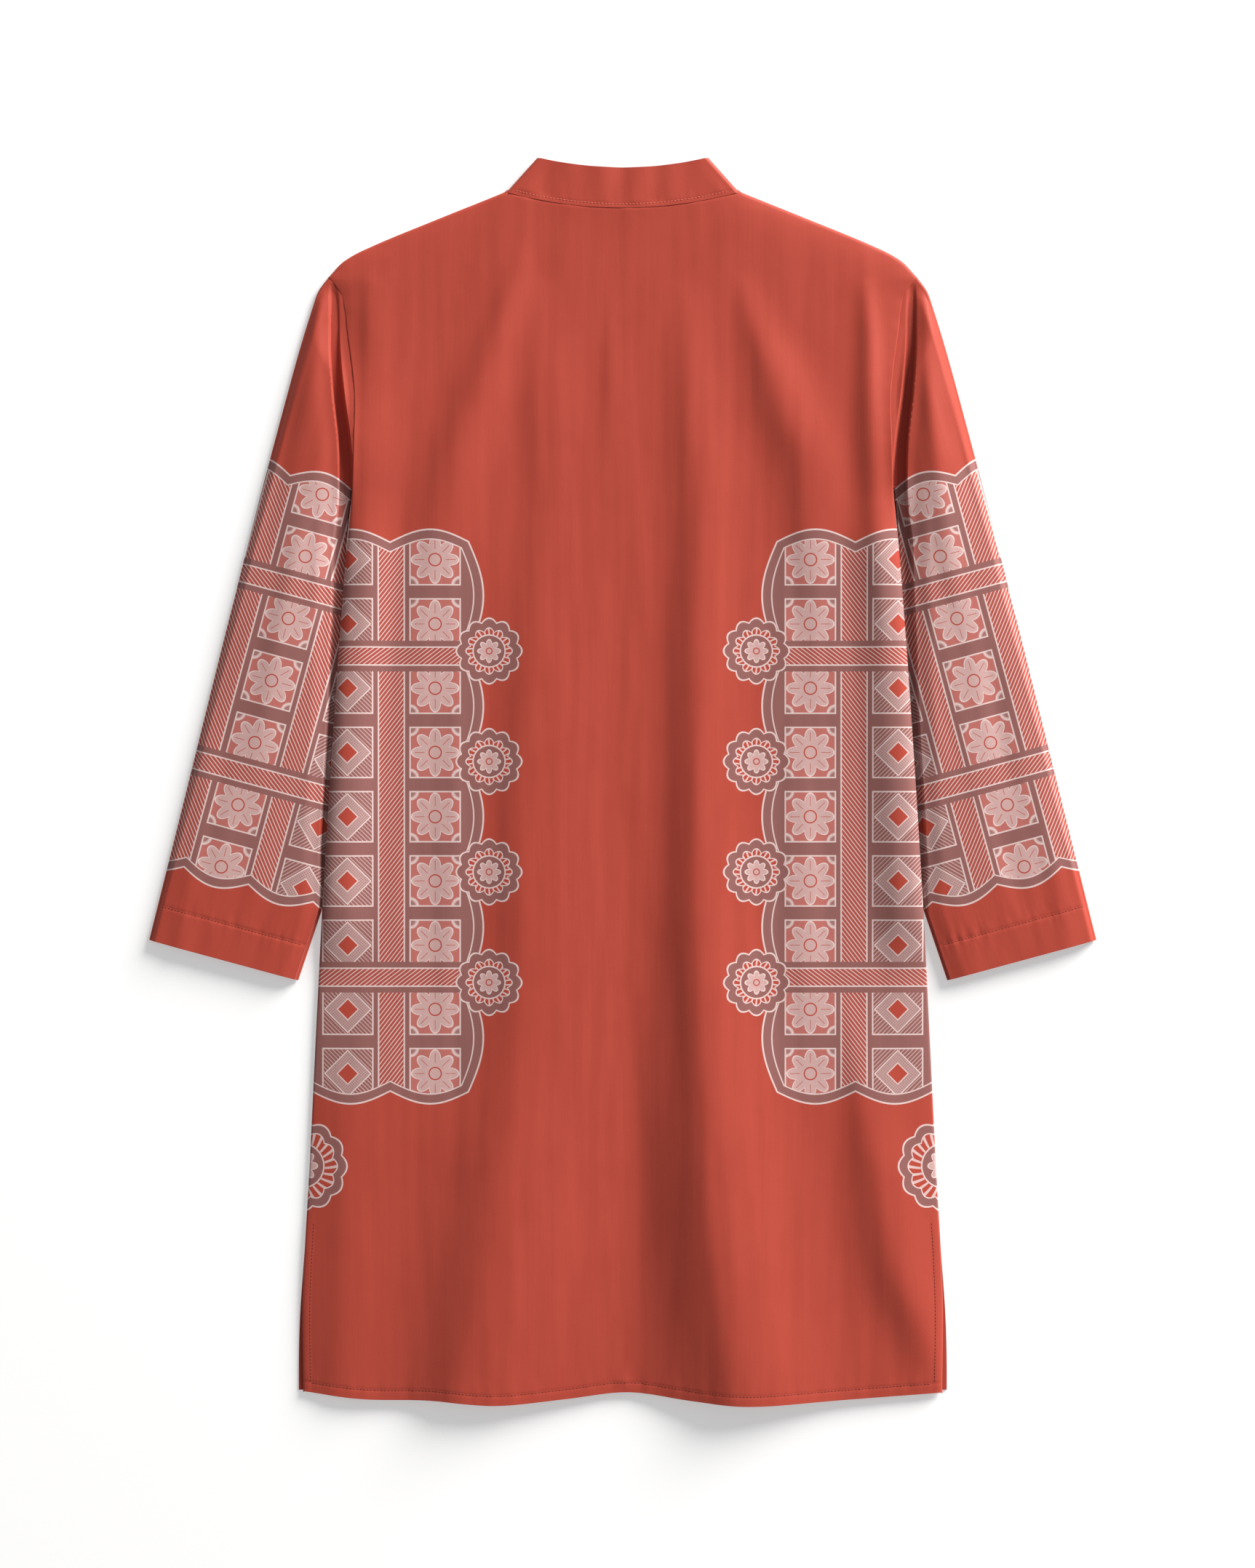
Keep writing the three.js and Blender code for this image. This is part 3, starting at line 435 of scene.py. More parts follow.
def beside_body_x(y):
    """Where a sleeve meets the body: just under its edge along the armhole, just clear of it below."""
    slope = (body_half(y + 1) - body_half(y - 1)) / 2
    gap = mix(SEAM_GAP, -SEAM_LAP, smooth((y - ARMPIT_Y + 6) / 12))
    return body_half(y) + gap * np.hypot(1, slope)


def sleeve_inner_x(y):
    tucked = beside_body_x(y) - TUCK_DEPTH * smooth((TUCK_START_Y - y) / TUCK_RAMP)
    return np.maximum(tucked, CUFF_INNER_X - (y - CUFF_INNER_Y) * INNER_EDGE_SLOPE)


def sleeve_shows_from_x(y):
    return np.maximum(sleeve_inner_x(y), beside_body_x(y))


OUTER_LINE = line_of(sleeve_outer_x, SHOULDER_TIP_Y, CUFF_OUTER_Y)
INNER_LINE = line_of(sleeve_shows_from_x, SHOULDER_TIP_Y, CUFF_INNER_Y)
CUFF_LINE = np.array([[sleeve_outer_x(CUFF_OUTER_Y), CUFF_OUTER_Y], [CUFF_INNER_X, CUFF_INNER_Y]])


def side_folds(side):
    return {name: rows for name, rows in SLEEVE_FOLDS.items() if side * rows[0][1] > 0}


def crevice_at(y):
    """Middle, half width and depth of the crevice beside the armhole."""
    return [column_at(CREVICE, n, y) for n in (1, 2, 3)]


def leaned(x, y):
    """Plan x of a sleeve's top, with the lip of its ridge leaning over the crevice."""
    middle, half, depth = crevice_at(y)
    at_lip = bell(x - middle - half - CREVICE_WALL, LIP_LEAN_REACH)
    return x - LIP_LEAN * depth / CREVICE_DEEPEST * at_lip * smooth((y - JOIN_LOW_Y) / 30)


def sleeve_top(side, x, y, sizes):
    """Top of a sleeve over points in plan, with x measured on the right-hand side."""
    from_outer = distance_to(OUTER_LINE, x, y)
    from_inner = np.where(x < sleeve_shows_from_x(y), 0, distance_to(INNER_LINE, x, y))
    from_cuff = distance_to(CUFF_LINE, x, y)
    down = np.clip((SHOULDER_TIP_Y - y) / (SHOULDER_TIP_Y - CUFF_INNER_Y), 0, 1)
    height = mix(SLEEVE_TOP, SLEEVE_CUFF_TOP, down) - 2 * EDGE_RADIUS
    height -= CAP_DROP * smooth((y - CAP_LOWER_Y) / CAP_RAMP)
    edge_reach = mix(EDGE_REACH, CUFF_EDGE_REACH, down)
    rolled = np.sin(math.pi / 2 * np.clip((from_outer - EDGE_RADIUS) / edge_reach, 0, 1))
    domed = np.sin(math.pi / 2 * np.clip((from_outer - EDGE_RADIUS) / OUTER_REACH, 0, 1))
    rise = mix(domed, rolled, EDGE_SHARE)
    from_valley = from_inner - through(VALLEY, y)
    wall = smooth(from_valley / WALL_REACH)
    lobe = rise * mix(smooth(from_valley / SLOPE_REACH), wall, WALL_SHARE)
    at_armhole = smooth((y - JOIN_LOW_Y) / (JOIN_HIGH_Y - JOIN_LOW_Y))
    seam_level = np.maximum(0, SIDE_SEAM_HEIGHT + armhole_rise(y) - 2 * EDGE_RADIUS - 0.5)
    middle, half, depth = crevice_at(y)
    slope_width = np.where(x < middle, CREVICE_SEAM_WALL, CREVICE_WALL)
    crevice = depth * smooth(1 + (half - np.abs(x - middle)) / slope_width)
    crevice += LIP_DROP * depth / CREVICE_DEEPEST * bell(x - middle - half - CREVICE_WALL, LIP_REACH)
    folds = fold_height(side_folds(side), side * x, y)
    across, along = sleeve_cut(x, y)
    waves = sizes.undulation / MM * (soft_noise(across / 15, along / 90, 20 + side) * lobe)
    pull = sizes.pucker / MM * np.exp(-np.abs(along - SLEEVE_HEM_DEPTH) / 8)
    fine = 0.5 * soft_noise(across / 2.6, along / 12, 40)
    puckers = pull * (soft_noise(across / 6, along / 24, 30 + side) + fine)
    hem_step = SLEEVE_HEM_PROUD * smooth((SLEEVE_HEM_DEPTH - from_cuff) / SLEEVE_HEM_STEP)
    groove = -CUFF_GROOVE * bell(from_cuff - CUFF_STITCH_DEPTH, CUFF_GROOVE_WIDTH)
    seam_reach = through(SEAM_REACH, y)
    below = lobe * (height + folds) - VALLEY_DROP * (1 - wall) * smooth((y - VALLEY_END_Y) / 60)
    above = mix(seam_level, rise * (height + folds), smooth((from_inner - SEAM_STRIP) / seam_reach)) - crevice
    top = 2 * EDGE_RADIUS + mix(below, above, at_armhole) + waves + lobe * (puckers + hem_step + groove)
    return np.maximum(top, LOWEST_TOP)


CUFF_AXIS = CUFF_LINE[1] - CUFF_LINE[0]
CUFF_AXIS = CUFF_AXIS / np.hypot(*CUFF_AXIS)
SLEEVE_AXIS = np.array([CUFF_AXIS[1], -CUFF_AXIS[0]])


def sleeve_cut(x, y):
    """Flat position on a sleeve: across from its outer edge, and up from the cuff."""
    away = joined(x - CUFF_LINE[0][0], y - CUFF_LINE[0][1])
    return away @ CUFF_AXIS, away @ SLEEVE_AXIS


def grid_normals(points, wraps):
    """Unit normals of a grid of points."""
    if wraps:
        across = np.roll(points, -1, 1) - np.roll(points, 1, 1)
    else:
        across = np.gradient(points, axis=1)
    normals = np.cross(across, np.gradient(points, axis=0))
    return normals / np.maximum(np.linalg.norm(normals, axis=2, keepdims=True), 1e-9)


def new_object(name, content):
    """An object in the scene that shows a mesh, a lamp or a camera."""
    made = bpy.data.objects.new(name, content)
    bpy.context.scene.collection.objects.link(made)
    return made


def new_piece(name, points, faces, material):
    """A smooth-shaded mesh object from points in millimetres."""
    mesh = bpy.data.meshes.new(name)
    mesh.from_pydata((points * MM).tolist(), [], faces)
    mesh.polygons.foreach_set("use_smooth", [True] * len(mesh.polygons))
    mesh.materials.append(material)
    return new_object(name, mesh)


def signed_volume(points, quads):
    a, b, c, d = (points[quads[:, n]] for n in range(4))
    return float((a * np.cross(b, c) + a * np.cross(c, d)).sum())


def shell(name, outer, thickness, flat, material, wraps=False, keeps=None):
    """A closed wall of cloth under a grid of points, with its flat position kept on each point."""
    rows, columns = outer.shape[:2]
    normals = grid_normals(outer, wraps)
    away = outer - outer.mean(axis=1, keepdims=True) if wraps else np.array([0, 0, 1.0])
    if (normals * away).sum() < 0:
        normals = -normals
    inner = outer - normals * np.broadcast_to(thickness, (rows, columns))[..., None]
    inner[..., 2] = np.abs(inner[..., 2])
    points = np.concatenate([outer.reshape(-1, 3), inner.reshape(-1, 3)])
    cells = np.ones((rows - 1, columns if wraps else columns - 1), bool) if keeps is None else keeps
    padded = np.pad(cells, 1)
    if wraps:
        padded[:, 0], padded[:, -1] = padded[:, -2], padded[:, 1]
    j, i = np.nonzero(cells)
    last = rows * columns

    def at(row, column, under=0):
        return row * columns + column % columns + under * last

    quads = [
        np.stack([at(j, i), at(j + 1, i), at(j + 1, i + 1), at(j, i + 1)], 1),
        np.stack([at(j, i, 1), at(j, i + 1, 1), at(j + 1, i + 1, 1), at(j + 1, i, 1)], 1),
    ]
    walls = [(-1, 0, (0, 0), (0, 1)), (1, 0, (1, 1), (1, 0)), (0, -1, (1, 0), (0, 0)), (0, 1, (0, 1), (1, 1))]
    for dj, di, (ja, ia), (jb, ib) in walls:
        open_side = ~padded[j + 1 + dj, i + 1 + di]
        a, b = (j[open_side] + ja, i[open_side] + ia), (j[open_side] + jb, i[open_side] + ib)
        quads.append(np.stack([at(*a), at(*b), at(*b, 1), at(*a, 1)], 1))
    quads = np.concatenate(quads)
    if signed_volume(points, quads) < 0:
        quads = quads[:, ::-1]
    used = np.unique(quads)
    fresh = np.zeros(len(points), int)
    fresh[used] = np.arange(len(used))
    piece = new_piece(name, points[used], fresh[quads].tolist(), material)
    cut = piece.data.attributes.new("cut", "FLOAT_VECTOR", "POINT")
    cut_place = np.concatenate([flat.reshape(-1, 2)] * 2)[used]
    cut.data.foreach_set("vector", np.column_stack([cut_place, np.zeros(len(used))]).ravel())
    piece.data.set_sharp_from_angle(angle=SHARP_ANGLE)
    return piece


def body_grid(columns, rows, neck_y, hem_y, half):
    """Plan points of a body panel, with columns and rows given as shares of its width and length."""
    x = columns * SHOULDER_TIP_X
    start = np.where(np.abs(x) >= NECK_HALF, shoulder_y(x), neck_y(np.abs(x)))
    y = mix(start[None, :], hem_y(columns * body_half(FRONT_HEM_Y))[None, :], rows[:, None])
    return columns[None, :] * half(y), y


def body_rows(armhole, side, hem):
    """Rows of a body panel as shares of its length, close together at the shoulder and the hem."""
    share = (SHOULDER_TIP_Y - ARMPIT_Y) / (SHOULDER_TIP_Y - FRONT_HEM_Y)
    hem_share = 1 - 22 / (NECK_SIDE_Y - FRONT_HEM_Y)
    return np.concatenate([
        share * np.linspace(0, 1, armhole + 1)[:-1] ** 1.3,
        np.linspace(share, hem_share, side + 1)[:-1],
        np.linspace(hem_share, 1, hem + 1),
    ])


def both_sides(half):
    """Shares from -1 to 1, from those of the right half going inwards."""
    inward = [share for share in half if share > 0]
    return np.array([-share for share in inward] + [0.0] + inward[::-1])


class KURTA_OT_back_panel(bpy.types.Operator):
    """Lay the back panel, with its folds, puckers, turned hem and side slits"""

    bl_idname = "kurta.back_panel"
    bl_label = "Back panel"

    def execute(self, context):
        sizes = context.scene.kurta_sizes
        across = np.arange(BACK_FIRST_COLUMN, SHOULDER_TIP_X, BACK_COLUMN_PITCH)
        insets = np.concatenate([EDGE_INSETS, across])
        columns = both_sides(1 - insets / SHOULDER_TIP_X)
        rows = body_rows(armhole=ARMHOLE_ROWS, side=sizes.body_rows, hem=20)

        def neck(x):
            return mix(BACK_NECK_Y, NECK_SIDE_Y, (x / NECK_HALF) ** 2) + COLLAR_LAP

        x, y = body_grid(columns, rows, neck, back_hem_y, body_half)
        top = back_top(x, y, sizes)
        at_armhole = smooth((y - ARMPIT_Y + 12) / 20) * smooth((SHOULDER_TIP_Y - 4 - y) / 8)
        side_round = mix(EDGE_ROUND, SLEEVE_SIDE_ROUND, over_sleeve(y, LIFT_RAMP))
        roll = mix(side_round, ARMHOLE_ROUND, at_armhole)
        inset = np.minimum(distance_to(BODY_LINE, np.abs(x), y), roll)
        top -= roll - np.sqrt(np.maximum(0, roll**2 - (roll - inset) ** 2))
        under_collar = (np.abs(x) < NECK_HALF) * smooth((y - neck(np.abs(x)) + COLLAR_SINK_START) / 1.5)
        top -= COLLAR_SINK * under_collar
        hem = (y - back_hem_y(x) < HEM_DEPTH) | ((y < SIDE_SLIT_TOP_Y) & (body_half(y) - np.abs(x) < 7))
        thickness = sizes.cloth / MM * (1 + HEM_EXTRA * hem)
        outer = joined(x, y, top)
        piece = shell("back_cloth", outer, thickness, joined(x, y), body_material(context.scene))
        place(piece, "back_panel", slot="body_cloth")
        return {"FINISHED"}


class KURTA_OT_front_panel(bpy.types.Operator):
    """Lay the front panel flat on the table, slit down from the neck"""

    bl_idname = "kurta.front_panel"
    bl_label = "Front panel"

    def execute(self, context):
        sizes = context.scene.kurta_sizes
        by_slit = [SHOULDER_TIP_X - 3, SHOULDER_TIP_X - FRONT_SLIT_HALF]
        insets = np.concatenate([FRONT_INSETS, np.arange(27, SHOULDER_TIP_X - 6, 7), by_slit])
        half = 1 - insets / SHOULDER_TIP_X
        columns = np.concatenate([-half, half[::-1]])
        rows = body_rows(armhole=ARMHOLE_ROWS, side=sizes.body_rows // 2, hem=6)

        def neck(x):
            return mix(FRONT_NECK_Y, NECK_SIDE_Y, (x / NECK_HALF) ** FRONT_NECK_POWER) - FRONT_DROP

        def half_with_peek(y):
            down_slit = smooth((SIDE_SLIT_TOP_Y - y) / (SIDE_SLIT_TOP_Y - FRONT_HEM_Y))
            return body_half(y) + FRONT_PANEL_PEEK * down_slit

        def hem(x):
            return np.full_like(x, FRONT_HEM_Y)

        x, y = body_grid(columns, rows, neck, hem, half_with_peek)
        z = side_lift(x, y) + sizes.cloth / MM
        keeps = np.ones((len(rows) - 1, len(columns) - 1), bool)
        keeps[y[1:, len(half)] > FRONT_SLIT_END_Y, len(half) - 1] = False
        outer = joined(x, y, z)
        material = body_material(context.scene)
        piece = shell("front_cloth", outer, sizes.cloth / MM, joined(x, y), material, keeps=keeps)
        place(piece, "front_panel", slot="body_cloth")
        return {"FINISHED"}


def sleeve_rings():
    """The two ends, in plan, of each ring of a sleeve, and how far it bulges along the armhole."""
    fan = np.linspace(0, 1, 112) ** 1.3
    above, at_stitches = np.linspace(0, 0.88, 72)[1:-1], np.linspace(0.88, 0.93, 16)
    straight = np.concatenate([above, at_stitches, np.linspace(0.93, 1, 8)[1:]])
    outer_fan, inner_fan = mix(SHOULDER_TIP_Y, FAN_OUTER_Y, fan**1.5), mix(ARMPIT_Y, FAN_INNER_Y, fan)
    outer_y = np.concatenate([outer_fan, mix(FAN_OUTER_Y, CUFF_OUTER_Y, straight)])
    inner_y = np.concatenate([inner_fan, mix(FAN_INNER_Y, CUFF_INNER_Y, straight)])
    bulge = np.concatenate([(1 - fan) ** 1.5, 0 * straight])
    return outer_y, inner_y, bulge


def edge_normal(edge, y, outward):
    slope = (edge(y + 1) - edge(y - 1)) / 2
    normal = joined(np.ones_like(y), -slope)
    return outward * normal / np.linalg.norm(normal, axis=-1, keepdims=True)


def sleeve_grid(side, sizes):
    """Points of a flattened sleeve, ring by ring: inner fold, upper layer, outer fold, lower layer."""
    outer_y, inner_y, bulge = sleeve_rings()
    inner_normal = edge_normal(sleeve_inner_x, np.clip(inner_y, CUFF_INNER_Y + 1, ARMPIT_Y - 1), -1)
    outer_normal = edge_normal(sleeve_outer_x, np.clip(outer_y, CUFF_OUTER_Y + 1, SHOULDER_TIP_Y - 1), 1)
    start = joined(sleeve_inner_x(inner_y), inner_y) - EDGE_RADIUS * inner_normal
    end = joined(sleeve_outer_x(outer_y), outer_y) - EDGE_RADIUS * outer_normal
    turns = np.linspace(-math.pi / 2, math.pi / 2, 9)

    def fold(centre, normal, angles):
        plan = centre[:, None, :] + EDGE_RADIUS * np.cos(angles)[None, :, None] * normal[:, None, :]
        z = np.broadcast_to(EDGE_RADIUS * (1 + np.sin(angles)), plan.shape[:2])
        return np.concatenate([plan, z[..., None]], -1)

    def layer(shares):
        seam_y = SHOULDER_TIP_Y - (SHOULDER_TIP_Y - ARMPIT_Y) * (1 - shares) ** 1.5
        armhole = joined(sleeve_inner_x(seam_y), seam_y)
        first = np.array([sleeve_inner_x(ARMPIT_Y) + EDGE_RADIUS, ARMPIT_Y])
        last = np.array([SHOULDER_TIP_X - SEAM_LAP, SHOULDER_TIP_Y])
        away = armhole - mix(first, last, shares[:, None])
        return mix(start[:, None], end[:, None], shares[None, :, None]) + bulge[:, None, None] * away[None]

    upper = layer(np.concatenate([np.linspace(0, 0.3, 48)[1:-1], np.linspace(0.3, 1, 62)[:-1]]))
    lower = layer(np.linspace(1, 0, 40)[1:-1])
    upper_z = sleeve_top(side, upper[..., 0], upper[..., 1], sizes)
    upper[..., 0] = leaned(upper[..., 0], upper[..., 1])
    grid = np.concatenate([
        fold(start, inner_normal, turns),
        np.concatenate([upper, upper_z[..., None]], -1),
        fold(end, outer_normal, turns[::-1]),
        np.concatenate([lower, np.zeros(lower.shape[:2] + (1,))], -1),
    ], axis=1)
    across, along = sleeve_cut(grid[..., 0], grid[..., 1])
    grid[..., 0] *= side
    return grid, joined(across, along)


class KURTA_OT_sleeves(bpy.types.Operator):
    """Lay the two flattened sleeves, each tucked under the side of the body"""

    bl_idname = "kurta.sleeves"
    bl_label = "Sleeves"

    def execute(self, context):
        sizes = context.scene.kurta_sizes
        for name, side in (("left", -1), ("right", 1)):
            grid, flat = sleeve_grid(side, sizes)
            material = cloth_material(context.scene, "printed sleeve cloth", draw_sleeve_print)
            piece = shell(f"{name}_sleeve_cloth", grid, sizes.cloth / MM, flat, material, wraps=True)
            place(piece, f"sleeve_{name}", slot="sleeve_cloth")
        return {"FINISHED"}


def collar_loop(v):
    """Points round the collar band at a share of its height, from one front end to the other."""
    half = mix(NECK_HALF, COLLAR_TOP_HALF, v)
    side_y = mix(NECK_SIDE_Y - FRONT_DROP, COLLAR_TOP_SIDE_Y, v)
    front_y = mix(FRONT_NECK_Y - 0.3, COLLAR_TOP_FRONT_Y, v)
    back_y = mix(BACK_NECK_Y - 1.0, COLLAR_TOP_BACK_Y, v)
    radius = COLLAR_FOLD_HEIGHT / 2
    fold_x = half - radius

    def front_arc(x):
        return mix(front_y, side_y, (np.abs(x) / half) ** FRONT_NECK_POWER)

    def back_arc(x):
        return mix(back_y, side_y, (x / half) ** 2)

    front_x = mix(COLLAR_GAP_HALF, fold_x, np.arange(COLLAR_FRONT_POINTS) / COLLAR_FRONT_POINTS)
    turns = np.linspace(-math.pi / 2, math.pi / 2, COLLAR_TURN_POINTS)
    turn_x = fold_x + radius * np.cos(turns)
    turn_y = mix(front_arc(turn_x), back_arc(turn_x), (1 + np.sin(turns)) / 2)
    turn_z = radius * (1 + np.sin(turns))
    back_x = np.linspace(-fold_x, fold_x, COLLAR_BACK_POINTS + 2)[1:-1]
    middle = COLLAR_MIDDLE_HEIGHT - (COLLAR_MIDDLE_HEIGHT - COLLAR_FOLD_HEIGHT) * (back_x / fold_x) ** 2
    ripples = 0.9 * soft_noise(back_x / 17, np.full_like(back_x, v * 0.5), 60)
    ripples += 0.35 * soft_noise(back_x / 4.5, np.full_like(back_x, v), 61) * np.exp(-v * COLLAR_WIDTH / 7)
    dent = -0.8 * bell(back_x + 1, 9) * v
    ends = smooth((fold_x - np.abs(back_x)) / 12) * smooth(v / 0.2)
    seam_groove = -0.12 * bell(v * COLLAR_WIDTH - COLLAR_STITCH_HEIGHT, HEM_GROOVE_WIDTH)
    back_z = middle + ends * (ripples + dent) + seam_groove
    flat_z = np.zeros_like(front_x)
    return np.concatenate([
        joined(-front_x, front_arc(front_x), flat_z),
        joined(-turn_x, turn_y, turn_z),
        joined(back_x, back_arc(back_x), back_z),
        joined(turn_x, turn_y, turn_z)[::-1],
        joined(front_x, front_arc(front_x), flat_z)[::-1],
    ])


class KURTA_OT_collar(bpy.types.Operator):
    """Fold the collar band flat over the neck"""

    bl_idname = "kurta.collar"
    bl_label = "Collar"

    def execute(self, context):
        sizes = context.scene.kurta_sizes
        heights = np.concatenate([np.linspace(0, 0.2, 12)[:-1], np.linspace(0.2, 1, 20)])
        grid = np.stack([collar_loop(v) for v in heights])
        walked = walked_along(grid[0])
        flat = np.stack(np.broadcast_arrays(walked[None, :], COLLAR_WIDTH * heights[:, None]), -1)
        material = cloth_material(context.scene, "plain collar cloth")
        piece = shell("collar_cloth", grid, sizes.collar / MM, flat, material)
        place(piece, "collar_band", slot="collar_cloth")
        return {"FINISHED"}


def stitches(name, runs, sizes, material):
    """Joined stitches along lines of points, each line with the way that is up from the cloth."""
    points, faces = [], []
    ring = [(0, 1), (1, 0), (0, -1), (-1, 0)]
    shape = [(-0.5, 0.25), (-0.28, 1.0), (0.28, 1.0), (0.5, 0.25)]
    pitch, length, radius = sizes.stitch_pitch / MM, sizes.stitch / MM, sizes.thread / MM
    for line, up in runs:
        walked = walked_along(line)
        for start in np.arange(pitch / 2, walked[-1] - pitch / 2, pitch):
            spots = [start - length / 2, start, start + length / 2]
            a, middle, b = (np.array([np.interp(s, walked, line[:, n]) for n in range(3)]) for s in spots)
            ahead = (b - a) / max(np.linalg.norm(b - a), 1e-9)
            side = np.cross(ahead, up)
            side /= max(np.linalg.norm(side), 1e-9)
            above = np.cross(side, ahead)
            base = len(points)
            for share, width in shape:
                for p, q in ring:
                    points.append(middle + ahead * share * length + radius * width * (side * p + above * q))
            for k in range(3):
                for n in range(4):
                    corner, following = base + 4 * k + n, base + 4 * k + (n + 1) % 4
                    faces.append([corner, corner + 4, following + 4, following])
            faces.append([base, base + 1, base + 2, base + 3])
            faces.append([base + 15, base + 14, base + 13, base + 12])
    return new_piece(name, np.array(points), faces, material)


class KURTA_OT_stitching(bpy.types.Operator):
    """Sew the lines of stitches along the hems, slits, cuffs and collar"""

    bl_idname = "kurta.stitching"
    bl_label = "Stitching"

    def execute(self, context):
        scene = context.scene
        sizes = scene.kurta_sizes
        colours = scene.kurta_colours
        thread = thread_material("hem thread", colours.thread)
        up = np.array([0, 0, 1.0])
        lift = sizes.thread / MM * 0.5
        x = np.linspace(-HEM_STITCH_HALF, HEM_STITCH_HALF, 400)
        y = back_hem_y(x) + HEM_STITCH_DEPTH
        runs = [(joined(x, y, back_top(x, y, sizes) + lift), up)]
        runs.append((joined(x, np.full_like(x, FRONT_HEM_Y + HEM_STITCH_DEPTH), 0 * x), -up))
        for side in (-1, 1):
            y = np.linspace(SIDE_SLIT_TOP_Y + 8, back_hem_y(side * HEM_STITCH_HALF) + 8, 120)
            x = side * (body_half(y) - SLIT_STITCH_DEPTH)
            runs.append((joined(x, y, back_top(x, y, sizes) + lift), up))
        self.sew("body_stitching", runs, sizes, thread)
        for name, side in (("left", -1), ("right", 1)):
            across = np.linspace(3, 117, 160)
            plan = CUFF_LINE[0] + across[:, None] * CUFF_AXIS + CUFF_STITCH_DEPTH * SLEEVE_AXIS
            top = sleeve_top(side, plan[:, 0], plan[:, 1], sizes)
            over = joined(side * plan[:, 0], plan[:, 1], top + lift)
            under = joined(side * plan[:, 0], plan[:, 1], 0 * top)
            self.sew(f"{name}_cuff_stitching", [(over, up), (under, -up)], sizes, thread)
        seam_start = COLLAR_FRONT_POINTS + COLLAR_TURN_POINTS
        seam = collar_loop(COLLAR_STITCH_HEIGHT / COLLAR_WIDTH)[seam_start : seam_start + COLLAR_BACK_POINTS]
        seam[:, 2] += lift
        # The collar's thread is coloured paler than the cloth, a painted highlight on its stitches.
        collar_thread_highlight = thread_material("collar thread with painted highlight", colours.collar_thread_highlight)
        self.sew("collar_stitching", [(seam, up)], sizes, collar_thread_highlight)
        return {"FINISHED"}

    def sew(self, name, runs, sizes, thread):
        piece = stitches(name, runs, sizes, thread)
        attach(piece, "root")


def place(piece, node, slot):
    """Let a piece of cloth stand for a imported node."""
    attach(piece, "root")
    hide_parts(node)


# Print: line and border widths, tiles, the extent of the body's print and the places of its roundels.
LINE, BORDER, TILE_PITCH, TILE_HALF, WEAVE_PITCH = 0.55, 8.0, 50, 19.5, 0.55
BODY_PRINT_INNER, BODY_PRINT_TOP, BODY_PRINT_BOTTOM = 120, 186, -242
ROUNDEL_X, ROUNDEL_YS, ROUNDEL_RADIUS = 104, (101, 15, -71, -157), 26
LOW_ROUNDEL_X, LOW_ROUNDEL_Y, LOW_ROUNDEL_RADIUS = 250, -300, 36
SLEEVE_PRINT_TOP, SLEEVE_PRINT_BOTTOM = 378, 62


class Field:
    """A number that varies over the cloth: the output of a shader node, with ordinary arithmetic."""

    def __init__(self, tree, socket):
        self.tree = tree
        self.socket = socket

    def worked(self, operation, *others, clamp=False):
        node = self.tree.nodes.new("ShaderNodeMath")
        node.operation = operation
        node.use_clamp = clamp
        for value, entry in zip((self, *others), node.inputs):
            if isinstance(value, Field):
                self.tree.links.new(value.socket, entry)
            else:
                entry.default_value = value
        return Field(self.tree, node.outputs[0])

    def __add__(self, other):
        return self.worked("ADD", other)

    def __sub__(self, other):
        return self.worked("SUBTRACT", other)

    def __rsub__(self, other):
        return self.worked("MULTIPLY", -1.0) + other

    def __mul__(self, other):
        return self.worked("MULTIPLY", other)

    def __truediv__(self, other):
        return self.worked("DIVIDE", other)

    def __abs__(self):
        return self.worked("ABSOLUTE")

    def least(self, other):
        return self.worked("MINIMUM", other)

    def most(self, other):
        return self.worked("MAXIMUM", other)

    def cosine(self):
        return self.worked("COSINE")

    def repeated(self, pitch):
        """The offset from the middle of the nearest of the repeats."""
        return self.worked("WRAP", pitch / 2, -pitch / 2)

    def within(self, half, soft=0.3):
        """1 where the number is closer to zero than half, and 0 beyond."""
        return (half - abs(self)).worked("MULTIPLY_ADD", 1 / soft, 0.5, clamp=True)

    def over(self, limit=0.0, soft=0.3):
        """1 where the number is above a limit, and 0 below."""
        return (self - limit).worked("MULTIPLY_ADD", 1 / soft, 0.5, clamp=True)


def longest(a, b):
    """Length of the vector whose parts are two fields."""
    return (a * a + b * b).worked("SQRT")


class Dye:
    """Paint over the colour of a cloth, layer by layer."""

    def __init__(self, tree, socket, colours):
        self.tree = tree
        self.socket = socket
        self.colours = colours

    def paint(self, name, mask):
        node = self.tree.nodes.new("ShaderNodeMix")
        node.data_type = "RGBA"
        entries = {entry.identifier: entry for entry in node.inputs}
        self.tree.links.new(mask.socket, entries["Factor_Float"])
        self.tree.links.new(self.socket, entries["A_Color"])
        entries["B_Color"].default_value = (*getattr(self.colours, name), 1.0)
        self.socket = next(out for out in node.outputs if out.identifier == "Result_Color")


def flower(u, v, radius, petals=8):
    """Mask and line work of a round-petalled flower about a point."""
    r = longest(u, v)
    turn = v.worked("ARCTAN2", u)
    lobes = abs((turn * (petals / 2)).cosine())
    edge = lobes * (0.36 * radius) + 0.64 * radius
    body = (edge - r).over()
    outline = (edge - r).within(LINE)
    veins = (turn * (petals / 2)).worked("SINE") * r
    lines = veins.within(1.1, 0.8) * (r - 0.45 * radius).over() * (0.86 * radius - r).over()
    heart = (r - 0.26 * radius).within(0.5)
    return body, outline, lines, heart


